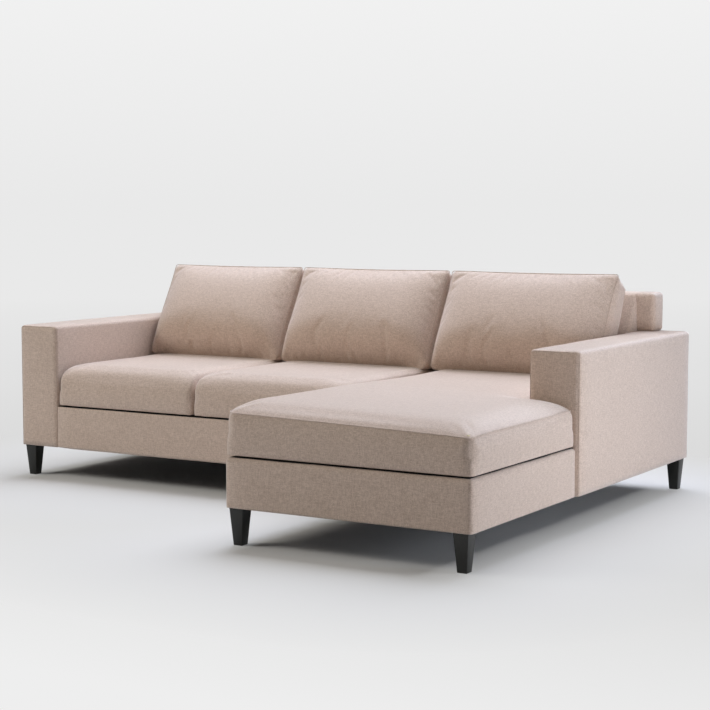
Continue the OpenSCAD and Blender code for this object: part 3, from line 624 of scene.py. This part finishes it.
class SOFA_OT_bases(bpy.types.Operator):
    """Covers the front rail of the plain section and the three sides of the chaise's base"""
    bl_idname = "sofa.bases"
    bl_label = "Bases"

    def execute(self, context):
        low, high = RAIL_L
        padded_block("loveseat_rail", (low.x, low.y, LEG_H), (high.x, low.y + PAD_T, BASE_TOP), "loveseat",
                     "loveseat_base_cover", seed=9, radius=THIN_ROUND, flat=("-x", "+x", "+y", "+z"))
        padded_block("loveseat_side_lining", (high.x - LINING_T, low.y + PAD_T, LEG_H),
                     (high.x, Y_REAR - PAD_T, BASE_TOP), "loveseat", radius=0.0012, flat=("-x", "+x"),
                     material="pressed_lining", slot="lining")
        low, high = RAIL_R
        front = (Vector((low.x, low.y, LEG_H)), Vector((high.x, ARM_R[0].y - 0.0005, BASE_TOP)))
        base = padded_block("chaise_base", lowered(front[0]), front[1], "chaise", "chaise_base_cover",
                            seed=10, flat=("+y", "-z", "+z"))
        delete_faces(base, lambda c, n: low.x + 0.02 < c.x < high.x - 0.02 and low.y + 0.02 < c.y)
        hollow(base, *front)
        padded_block("chaise_side", (low.x, ARM_R[0].y - 0.001, LEG_H),
                     (low.x + PAD_T, Y_REAR - PAD_T, BASE_TOP), "chaise", seed=11, radius=THIN_ROUND,
                     flat=("-x", "+x"))
        return {"FINISHED"}


# Legs

class SOFA_OT_legs(bpy.types.Operator):
    """Makes the tapered square legs, one for each that the frame holds"""
    bl_idname = "sofa.legs"
    bl_label = "Legs"

    def execute(self, context):
        size = sizes()
        names = [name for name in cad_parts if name.endswith("_leg")]
        for name in sorted(names):
            low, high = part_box(name)
            centre = (low + high) / 2
            bpy.ops.object.select_all(action="DESELECT")
            bpy.ops.mesh.primitive_cone_add(vertices=4, radius1=size.leg_foot / math.sqrt(2),
                                            radius2=size.leg_top / math.sqrt(2), depth=high.z - low.z,
                                            location=centre, rotation=(0, 0, math.pi / 4))
            leg = keep(bpy.context.object, name + "_turned")
            bpy.ops.object.mode_set(mode="EDIT")
            bpy.ops.mesh.select_all(action="SELECT")
            bpy.ops.mesh.bevel(offset=size.leg_edge, segments=3, affect="EDGES")
            bpy.ops.object.mode_set(mode="OBJECT")
            body = "chaise" if centre.x > RAIL_R[0].x else "loveseat"
            dress(leg, "lacquered_rubberwood", body, "ebonised_wood", name)
        return {"FINISHED"}


# Cushions

# Rounding of a seat's lower and upper edges, and of a back cushion's front and rear edges
SEAT_LOW = 0.009
SEAT_UP = 0.022
CHAISE_UP = 0.032
FACE_UP = 0.027
REAR_UP = 0.014
# Rounding of the corners of the plain seats, the chaise's seat and the back cushions, seen along their bands
SEAT_CORNER = 0.014
CHAISE_CORNER = 0.022
BACK_CORNER = 0.009
# Where a seam lies on a rounding, as a share of its radius from either face
SEAM_IN = 0.29
# How far a cushion keeps inside its space, and how far a seat's top and free sides may swell past it
INSET = 0.001
PROUD = 0.008
# How far in from a seam its drawing in reaches
DRAW_REACH = 0.05
# The chaise's seat flares on its left in front of the others: how far, where it starts, and how far in
FLARE = 0.006
FLARE_FADE = 0.07
FLARE_RUN = 0.12
# Its front is fuller at the left: how much, how far back, where that fades, and how far its top may rise
FULLER = 0.011
FULLER_L = 0.5
FULLER_FADE = 0.7
CHAISE_PROUD = 0.018
# How far a seat's fabric swells, as a share of the furthest that a cushion's may
SEAT_PUFF = 0.4
# How far a seat's lower edge lifts off its base, and how far in
FOOT_RISE = 0.006
FOOT_REACH = 0.045
# How far a seat slides past the chaise's cushion, which stays straight beside it
PULL = 0.31


def round_plan(obj, low, high, radius, axes):
    """Rounds the four edges of a box that stand square to a plane, by drawing squares in to circles."""
    co = points_of(obj)
    plane = co[:, axes]
    core = np.clip(plane, np.array(low) + radius, np.array(high) - radius)
    out = plane - core
    corner = (np.abs(out) > 1e-9).all(axis=1)
    widest = np.abs(out).max(axis=1, keepdims=True)
    length = np.linalg.norm(out, axis=1, keepdims=True)
    plane[corner] = (core + out * widest / np.maximum(length, 1e-9))[corner]
    co[:, axes] = plane
    place_points(obj, co)


def blank(name, boxes, near, far, axis, corner):
    """A cushion's blank: rounded boxes, rounded again at their corners, in one even skin."""
    parts = []
    axes = [k for k in range(3) if k != axis]
    for k, (low, high) in enumerate(boxes):
        part = rounded_box(f"{name}_part_{k}" if k else name, low, high, near, 44, far, axis)
        round_plan(part, np.array(low)[axes], np.array(high)[axes], corner, axes)
        parts.append(part)
    obj = parts[0]
    if len(parts) > 1:
        for part in parts:
            part.select_set(True)
        bpy.context.view_layer.objects.active = obj
        bpy.ops.object.join()
    modify(obj, "REMESH", mode="VOXEL", voxel_size=sizes().voxel, adaptivity=0)
    return obj


def near_path(co, path, distance):
    """Which points lie near a path."""
    tree = kdtree.KDTree(len(path))
    for k, point in enumerate(path):
        tree.insert(point, k)
    tree.balance()
    return np.array([tree.find(point)[2] < distance for point in co])


def inflate(obj, seams, limit, shrink, cap):
    """Blows a cushion up as cloth, with its seams held, then holds it inside its limits."""
    start = points_of(obj)
    held = near_path(start, np.concatenate(seams), 0.55 * sizes().voxel)
    group = obj.vertex_groups.new(name="seams")
    group.add([int(k) for k in np.nonzero(held)[0]], 1.0, "REPLACE")
    cloth = obj.modifiers.new("Cloth", "CLOTH")
    settings = cloth.settings
    settings.quality = 4
    settings.mass = 0.3
    settings.tension_stiffness = settings.compression_stiffness = 12
    settings.shear_stiffness = 6
    settings.bending_stiffness = 0.8
    settings.use_pressure = True
    settings.uniform_pressure_force = 4
    settings.shrink_min = shrink
    settings.vertex_group_mass = "seams"
    settings.effector_weights.gravity = 0
    cloth.point_cache.frame_start = 1
    cloth.point_cache.frame_end = sizes().frames
    scene = bpy.context.scene
    for step in range(1, sizes().frames + 1):
        scene.frame_set(step)
    blown = obj.evaluated_get(bpy.context.evaluated_depsgraph_get())
    moved = points_of(blown) - start
    obj.modifiers.remove(cloth)
    obj.vertex_groups.clear()
    scene.frame_set(1)
    length = np.linalg.norm(moved, axis=1, keepdims=True)
    moved *= cap * np.tanh(length / cap) / np.maximum(length, 1e-9)
    place_points(obj, limit(start + moved))


def cushion(obj, seams, limit, material, body, *nodes, fill, shrink, puff, sewn=0):
    """Finishes a cushion from its shaped blank: inflated, smoothed, given its material and body, and sewn."""
    inflate(obj, seams, limit, shrink, puff)
    modify(obj, "SUBSURF", levels=1, render_levels=1)
    dress(obj, material, body, "linen", *nodes)
    ridge(obj.name + "_seams", seams[sewn:], body)


class SeatShape:
    """The form of a seat cushion over its plan, with an optional notch for the arm at its right rear."""

    def __init__(self, box, seam, up, notch=None, runs=(0.12, 0.09, 0.10), drops=(0.06, 0.06, 0.3),
                 inset=INSET, flare=0.0, fuller=0.0):
        (self.x0, self.y0, self.z0), (self.x1, self.y1, self.crown) = box
        self.x0, self.x1, self.z0 = self.x0 + inset, self.x1 - inset, self.z0 + inset
        self.y0, self.y1 = self.y0 + inset, self.y1 - inset
        self.seam, self.up, self.runs = seam, up, runs
        self.notch = notch and (notch[0] - inset, notch[1] - inset)
        self.drops, self.flare, self.fuller = drops, flare, fuller

    def boxes(self):
        """The boxes that the blank is joined from."""
        if not self.notch:
            return [((self.x0, self.y0, self.z0), (self.x1, self.y1, self.seam))]
        tuck = 0.0006
        joint = self.notch[1] - 0.2
        return [((self.x0, self.y0, self.z0), (self.x1, self.notch[1], self.seam)),
                ((self.x0 + tuck, joint, self.z0 + tuck), (self.notch[0], self.y1, self.seam - tuck))]

    def rise(self, x, y, x1, y1, drops):
        """Share of the crown reached: none at the front edge, and less by their drops at the others."""
        side, front, rear = self.runs
        lost = drops[0] * (1 - swell(x - self.x0, side)) + drops[1] * (1 - swell(x1 - x, side))
        lost += drops[2] * (1 - swell(y1 - y, rear))
        return swell(y - self.y0, front) * np.clip(1 - lost, 0, 1)

    def edge(self, co):
        """Distance to the nearest side."""
        x, y = co[:, 0], co[:, 1]
        right = self.x1 - x
        rear = self.y1 - y
        if self.notch:
            past = y > self.notch[1]
            right = np.where(past, self.notch[0] - x, right)
            rear = np.where(x > self.notch[0], self.notch[1] - y, rear)
        return np.minimum.reduce([x - self.x0, right, y - self.y0, rear])

    def shaped(self, co):
        """Points of the blank, moved to the crown, the rising foot and the drawn-in seams."""
        co = co.copy()
        x, y, z = co.T
        left, right, rear = self.drops
        if self.notch:
            beside = self.rise(x, y, self.notch[0], self.y1, (left, rear, rear)) * (x <= self.notch[0])
            whole = np.maximum(beside, self.rise(x, y, self.x1, self.notch[1], self.drops))
        else:
            whole = self.rise(x, y, self.x1, self.y1, self.drops)
        upper = smooth((z - self.seam + self.up) / self.up)
        lower = 1 - smooth((z - self.z0) / SEAT_LOW)
        co[:, 2] += (self.crown - self.seam) * whole * upper
        u = (x - self.x0) / (self.x1 - self.x0)
        lifted = self.fuller * (1 - 2 * u) * (1 - smooth((y - self.y0 - FULLER_L) / FULLER_FADE))
        co[:, 2] += lifted * smooth((z - self.z0) / (self.seam - self.z0))
        co[:, 2] += FOOT_RISE * lower * (1 - smooth(self.edge(co) / FOOT_REACH))
        v = np.clip((y - self.y0) / (self.y1 - self.y0), 0, 1)
        tight = sizes().draw_in * np.maximum(upper, lower) * (1 - smooth(self.edge(co) / DRAW_REACH))
        co[:, 1] += tight * np.sin(math.pi * u) * (1 - smooth((y - self.y0) / DRAW_REACH))
        co[:, 0] += tight * np.sin(math.pi * v) * (1 - smooth((x - self.x0) / DRAW_REACH))
        if self.notch:
            free = 1 - smooth((y - self.notch[1] + PULL + FLARE_FADE) / FLARE_FADE)
            co[:, 0] -= self.flare * free * (1 - smooth((x - self.x0) / FLARE_RUN))
        else:
            co[:, 0] -= tight * np.sin(math.pi * v) * (1 - smooth((self.x1 - x) / DRAW_REACH))
        return co

    def seams(self, corner):
        """The paths of the upper and lower seams."""
        paths = []
        for z, tuck in ((self.seam - SEAM_IN * self.up, SEAM_IN * self.up), (self.z0 + FOOT_RISE, 0.003)):
            x0, x1, y0, y1 = self.x0 + tuck, self.x1 - tuck, self.y0 + tuck, self.y1 - tuck
            if self.notch:
                nx, ny = self.notch[0] - tuck, self.notch[1] - tuck
                corners = [(x0, y0), (x1, y0), (x1, ny), (nx, ny), (nx, y1), (x0, y1)]
                radii = [corner, corner, corner, 0.006, corner, corner]
            else:
                corners = [(x0, y0), (x1, y0), (x1, y1), (x0, y1)]
                radii = [corner] * 4
            path = outline(corners, radii)
            paths.append(self.shaped(np.column_stack([path, np.full(len(path), z)])))
        return paths


def seat(name, node, shape, corner, limit, sewn):
    """Makes one seat cushion."""
    obj = blank(name, shape.boxes(), SEAT_LOW, shape.up, 2, corner)
    place_points(obj, shape.shaped(points_of(obj)))
    cushion(obj, shape.seams(corner), limit, "woven_linen", node.replace("_cover", ""), node, fill=0.8,
            shrink=0, puff=SEAT_PUFF * sizes().puff, sewn=sewn)


def inside(low, high):
    """A limit that holds points between two corners."""
    return lambda co: np.clip(co, low, high)


class SOFA_OT_seats(bpy.types.Operator):
    """Makes the two plain seat cushions and the chaise's cushion, which runs on in front of the arm"""
    bl_idname = "sofa.seats"
    bl_label = "Seats"

    def execute(self, context):
        for side in ("left", "centre"):
            node = f"seat_{side}_cover"
            low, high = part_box(node)
            limit = inside((low.x - INSET, low.y - PROUD, low.z + INSET),
                           (high.x + INSET, high.y, high.z + PROUD))
            seat(f"{side}_seat", node, SeatShape((low, high), SEAT_SEAM, SEAT_UP), SEAT_CORNER, limit, 1)
        node = "chaise_seat_cover"
        low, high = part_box(node)
        notch = (ARM_R[0].x - 0.002, ARM_R[0].y - 0.002)

        def limit(co):
            co = np.clip(co, (low.x - PROUD, low.y - PROUD, low.z + INSET),
                         (high.x + PROUD, high.y, high.z + CHAISE_PROUD))
            beside = co[:, 1] > notch[1] + 0.012
            joined = co[:, 1] > notch[1] - PULL
            co[joined, 0] = np.maximum(co[joined, 0], low.x - INSET / 2)
            co[beside, 0] = np.minimum(co[beside, 0], notch[0] + INSET)
            stopped = ~beside & (co[:, 0] > notch[0])
            co[stopped, 1] = np.minimum(co[stopped, 1], notch[1] + INSET)
            return co

        shape = SeatShape((low, high), CHAISE_SEAM, CHAISE_UP, notch, runs=(0.17, 0.18, 0.10),
                          drops=(0.0, 0.85, 0.3), flare=FLARE, fuller=FULLER)
        seat("chaise_seat_cushion", node, shape, CHAISE_CORNER, limit, 0)
        return {"FINISHED"}


class BackShape:
    """The form of a back cushion, made flat as width, depth and height, then leant against the back."""

    def __init__(self, x0, x1, seat_z, inset=INSET):
        self.x0, self.x1, self.seat_z = x0 + inset, x1 - inset, seat_z
        self.y_foot = back_y(seat_z) - FOOT_T
        self.rear_crown = FOOT_T * math.cos(CUSHION_LEAN) - BAND_W - 0.002

    def box(self):
        return (self.x0, 0, 0), (self.x1, BAND_W, FACE_L)

    def shaped(self, co):
        """Points of the blank, swelled front and rear, drawn in at the seams, and leant on the seat."""
        x, w, v = co.T.copy()
        middle = (self.x0 + self.x1) / 2
        half = self.x1 - middle
        side = swell(x - self.x0, SIDE_RUN) * swell(self.x1 - x, SIDE_RUN)
        skin = 1 - smooth(w / FACE_UP)
        front = (0.05 + 0.95 * side) * swell(v, FOOT_RUN) * swell(FACE_L - v, TOP_RUN) * skin
        under = side * np.clip(1 - v / UNDER_RUN, 0, 1) ** 3 * skin
        foot = (1 - v / FACE_L) * (1 - w / BAND_W)
        hind = smooth((w - BAND_W + REAR_UP) / REAR_UP)
        rear = side * swell(v, REAR_FOOT_RUN) * swell(FACE_L - v, REAR_TOP_RUN) * hind
        seam = np.maximum(skin, hind)
        along = np.sin(math.pi * np.clip(v / FACE_L, 0, 1))
        across = np.sin(math.pi * np.clip((x - self.x0) / (2 * half), 0, 1))
        beside = smooth(1 - (half - np.abs(x - middle)) / DRAW_REACH)
        above = smooth((v - FACE_L + DRAW_REACH) / DRAW_REACH)
        # The top corners are pinched to ears, with the band drawn together
        ear = np.exp(-((half - np.abs(x - middle)) ** 2 + (FACE_L - v) ** 2) / EAR ** 2)
        # Neighbours touch, so their sides are drawn in less than their tops
        inwards = 0.2 * sizes().draw_in * along * beside * seam - EAR_OUT * ear * skin
        x = x - np.sign(x - middle) * inwards
        v = v - sizes().draw_in * across * above * seam - EAR_DOWN * ear * smooth(w / BAND_W)
        w = w - BELLY * front + UNDER * under - FOOT_OUT * foot
        w += self.rear_crown * rear - EAR_IN * ear * smooth(w / BAND_W)
        y = self.y_foot + w * math.cos(CUSHION_LEAN) + v * math.sin(CUSHION_LEAN)
        z = self.seat_z + v * math.cos(CUSHION_LEAN) - w * math.sin(CUSHION_LEAN)
        return np.column_stack([x, y, np.maximum(z, self.seat_z)])

    def seams(self, corner):
        """The paths of the front and rear seams."""
        paths = []
        front, rear = SEAM_IN * FACE_UP, SEAM_IN * REAR_UP
        for w, tuck in ((front, front), (BAND_W - rear, rear)):
            x0, x1, v0, v1 = self.x0 + tuck, self.x1 - tuck, tuck, FACE_L - tuck
            path = outline([(x0, v0), (x1, v0), (x1, v1), (x0, v1)], [corner] * 4)
            paths.append(self.shaped(np.column_stack([path[:, 0], np.full(len(path), w), path[:, 1]])))
        return paths

    def limit(self, co):
        """Holds points between the neighbours, on the seat and in front of the back."""
        co = co.copy()
        co[:, 0] = np.clip(co[:, 0], self.x0 - INSET, self.x1 + INSET)
        co[:, 2] = np.maximum(co[:, 2], self.seat_z)
        face = back_y(0) + np.minimum(co[:, 2], BACK_TOP) * math.tan(BACK_LEAN)
        over = co[:, 2] > BACK_TOP
        co[~over, 1] = np.minimum(co[~over, 1], face[~over] - INSET)
        return co


class SOFA_OT_back_cushions(bpy.types.Operator):
    """Makes the three loose boxed cushions that lean on the back"""
    bl_idname = "sofa.back_cushions"
    bl_label = "Back cushions"

    def execute(self, context):
        for side in ("left", "centre", "right"):
            node = f"back_{side}_cover"
            low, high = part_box(node)
            shape = BackShape(low.x, high.x, low.z)
            obj = blank(f"{side}_back_cushion", [shape.box()], FACE_UP, REAR_UP, 1, BACK_CORNER)
            place_points(obj, shape.shaped(points_of(obj)))
            seams = shape.seams(BACK_CORNER)
            cushion(obj, seams, shape.limit, "woven_linen_leant", f"back_{side}", node, fill=0.65,
                    shrink=-0.01, puff=sizes().puff)
        return {"FINISHED"}


# Frame and stage

class SOFA_OT_frame(bpy.types.Operator):
    """Gives the frame's own pieces their finishes"""
    bl_idname = "sofa.frame"
    bl_label = "Frame"

    def execute(self, context):
        endings = {
            "planed_softwood": ("_posts", "_rails", "_blocks"),
            "pressed_fibre_board": ("_panels", "_panel"),
            "oiled_steel": ("_springs", "_clips", "_plates", "_fasteners", "_connectors"),
            "cut_foam": ("_core",),
            "pressed_lining": ("_deck", "_dust_cover"),
            "lacquered_rubberwood": ("_leg",),
            "woven_linen": ("_cover",),
        }
        for name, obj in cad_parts.items():
            material = next(key for key, ends in endings.items() if name.endswith(ends))
            if not obj.material_slots:
                obj.data.materials.append(None)
            for material_slot in obj.material_slots:
                material_slot.material = finish_named(material)
        return {"FINISHED"}


def area_light(name, place, aim, size, power, colour="FFFFFF"):
    """A soft square lamp that faces a point, and isn't seen itself."""
    lamp = bpy.data.lights.new(name, "AREA")
    lamp.size = size
    lamp.energy = power
    lamp.color = linear(colour)[:3]
    obj = bpy.data.objects.new(name, lamp)
    obj.location = place
    obj.rotation_euler = (Vector(aim) - Vector(place)).to_track_quat("-Z", "Y").to_euler()
    obj.visible_camera = False
    bpy.context.scene.collection.objects.link(obj)


def seen_directly(tree):
    """An output that is 1 for the camera, for glossy rays and through glass."""
    rays = add_node(tree, "ShaderNodeLightPath").outputs
    return total(tree, [rays["Is Camera Ray"], rays["Is Glossy Ray"], rays["Is Transmission Ray"]])


def outside(tree, place, low, high):
    """Distance from a rectangle on the floor."""
    centre = [(a + b) / 2 for a, b in zip(low, high)] + [0]
    half = [(b - a) / 2 for a, b in zip(low, high)] + [1]
    for operation, given in (("SUBTRACT", centre), ("ABSOLUTE", (0, 0, 0)), ("SUBTRACT", half),
                             ("MAXIMUM", (0, 0, 0)), ("LENGTH", (0, 0, 0))):
        node = add_node(tree, "ShaderNodeVectorMath", {"operation": operation, 1: given}, {0: place})
        place = node.outputs["Value" if operation == "LENGTH" else "Vector"]
    return place


def floor_material():
    """Matt studio floor. It fades into the backdrop round the sofa, and keeps the real shadow under it; near
    the sofa the emitted tone paints light over the shadow's edge.
    """
    material, tree, shader, place = new_material("studio_floor", 0.9, specular=0.1)
    palette = colours()
    shader.inputs["Base Color"].default_value = palette.floor
    # The painted light over the real shadow starts a little inside the two sections' plans, less so at the
    # front, which sets how far the shadow reaches
    left, front, right, rear = 0.12, -0.06, 0.18, 0.12
    plans = (((ARM_L[0].x, ARM_L[0].y), (ARM_R[1].x, Y_REAR)),
             ((RAIL_R[0].x, RAIL_R[0].y), (RAIL_R[1].x, Y_REAR)))
    gaps = [outside(tree, place, (low[0] + left, low[1] + front), (high[0] - right, high[1] - rear))
            for low, high in plans]
    away = add_node(tree, "ShaderNodeMath", {"operation": "MINIMUM"}, {0: gaps[0], 1: gaps[1]}).outputs[0]
    # Share of emitted tone over the lit floor: painted light over the shadow near the sofa, plain backdrop
    # further off
    fade = add_node(tree, "ShaderNodeMath", {"operation": "SQRT"}, {0: between(tree, away, 0.03, 0.95)})
    seen = add_node(tree, "ShaderNodeMath", {"operation": "MULTIPLY"}, {
        0: fade.outputs[0], 1: seen_directly(tree)})
    far = add_node(tree, "ShaderNodeVectorMath", {"operation": "LENGTH"}, {0: place}).outputs["Value"]
    front = add_node(tree, "ShaderNodeSeparateXYZ", {}, {0: place}).outputs["Y"]
    # Emitted tone: darker beside the sofa as painted shade, paler in front as painted light, then the
    # backdrop far off
    tone = mix(tree, between(tree, far, 1.5, 4.5), palette.near_floor_painted_shade, palette.far_floor)
    tone = mix(tree, between(tree, far, 4.5, 14.0), tone, palette.backdrop)
    tone = mix(tree, between(tree, front, -0.6, -2.4), tone, palette.front_floor_painted_light)
    backdrop = add_node(tree, "ShaderNodeEmission", {}, {"Color": tone})
    both = add_node(tree, "ShaderNodeMixShader", {}, {
        0: seen.outputs[0], 1: shader.outputs[0], 2: backdrop.outputs[0]})
    tree.links.new(both.outputs[0], tree.nodes["Material Output"].inputs["Surface"])
    return material


class SOFA_OT_stage(bpy.types.Operator):
    """Sets the floor, the backdrop, the soft lamps and the photograph's camera"""
    bl_idname = "sofa.stage"
    bl_label = "Stage"

    def execute(self, context):
        scene = context.scene
        bpy.ops.object.select_all(action="DESELECT")
        bpy.ops.mesh.primitive_plane_add(size=60)
        floor = context.object
        floor.name = "floor"
        floor.data.materials.append(floor_material())

        # The lamps' fill comes from the world, and the camera sees the backdrop instead, paler higher up
        world = bpy.data.worlds.new("studio")
        world.use_nodes = True
        scene.world = world
        tree = world.node_tree
        light = tree.nodes["Background"]
        light.inputs["Color"].default_value = linear("FFF8F0")
        light.inputs["Strength"].default_value = 0.1
        ray = add_node(tree, "ShaderNodeTexCoord").outputs["Generated"]
        height = add_node(tree, "ShaderNodeSeparateXYZ", {}, {0: ray}).outputs["Z"]
        tone = mix(tree, between(tree, height, 0.0, 0.12), colours().backdrop, colours().sky)
        seen = add_node(tree, "ShaderNodeBackground", {}, {"Color": tone})
        both = add_node(tree, "ShaderNodeMixShader", {}, {
            0: seen_directly(tree), 1: light.outputs[0], 2: seen.outputs[0]})
        tree.links.new(both.outputs[0], tree.nodes["World Output"].inputs["Surface"])

        area_light("overhead", (0.7, -0.2, 4.2), (0.3, -0.2, 0), 5.0, 20)
        area_light("rear_overhead", (0.0, 2.2, 4.0), (0.3, 0.4, 0), 4.0, 275, "E9EFFF")
        area_light("right_side", (3.0, -0.05, 0.4), (1.2, -0.1, 0.35), 0.8, 24, "EFF5FF")
        area_light("left_side", (-4.2, -3.4, 4.4), (0, 0, 0.3), 2.5, 162, "FFFBF2")

        camera = bpy.data.objects.new("camera", bpy.data.cameras.new("camera"))
        camera.location = CAMERA_PLACE
        camera.rotation_euler = (math.pi / 2 - CAMERA_PITCH, 0, CAMERA_YAW)
        camera.data.lens = CAMERA_LENS
        camera.data.sensor_width = 36
        scene.collection.objects.link(camera)
        scene.camera = camera
        scene.view_settings.view_transform = "Standard"
        return {"FINISHED"}


OPERATORS = (SOFA_OT_stage, SOFA_OT_frame, SOFA_OT_arms, SOFA_OT_backs, SOFA_OT_bases, SOFA_OT_legs,
             SOFA_OT_seats, SOFA_OT_back_cushions)


class SOFA_PT_panel(bpy.types.Panel):
    """Lists the steps, sizes and colours of the sofa"""
    bl_idname = "SOFA_PT_panel"
    bl_label = "Sofa"
    bl_space_type = "VIEW_3D"
    bl_region_type = "UI"
    bl_category = "Sofa"

    def draw(self, context):
        for operator in OPERATORS:
            self.layout.operator(operator.bl_idname)
        for group in (context.scene.sofa_sizes, context.scene.sofa_colours):
            for key in group.__annotations__:
                self.layout.prop(group, key)


CLASSES = (SofaColours, SofaSizes, *OPERATORS, SOFA_PT_panel)


def register():
    for cls in CLASSES:
        bpy.utils.register_class(cls)
    bpy.types.Scene.sofa_colours = PointerProperty(type=SofaColours)
    bpy.types.Scene.sofa_sizes = PointerProperty(type=SofaSizes)


def unregister():
    del bpy.types.Scene.sofa_sizes
    del bpy.types.Scene.sofa_colours
    for cls in reversed(CLASSES):
        bpy.utils.unregister_class(cls)


def main():
    register()
    bpy.ops.sofa.stage()
    bpy.ops.sofa.frame()
    bpy.ops.sofa.arms()
    bpy.ops.sofa.backs()
    bpy.ops.sofa.bases()
    bpy.ops.sofa.legs()
    bpy.ops.sofa.seats()
    bpy.ops.sofa.back_cushions()
    bpy.context.view_layer.update()


if __name__ == "__main__":
    main()
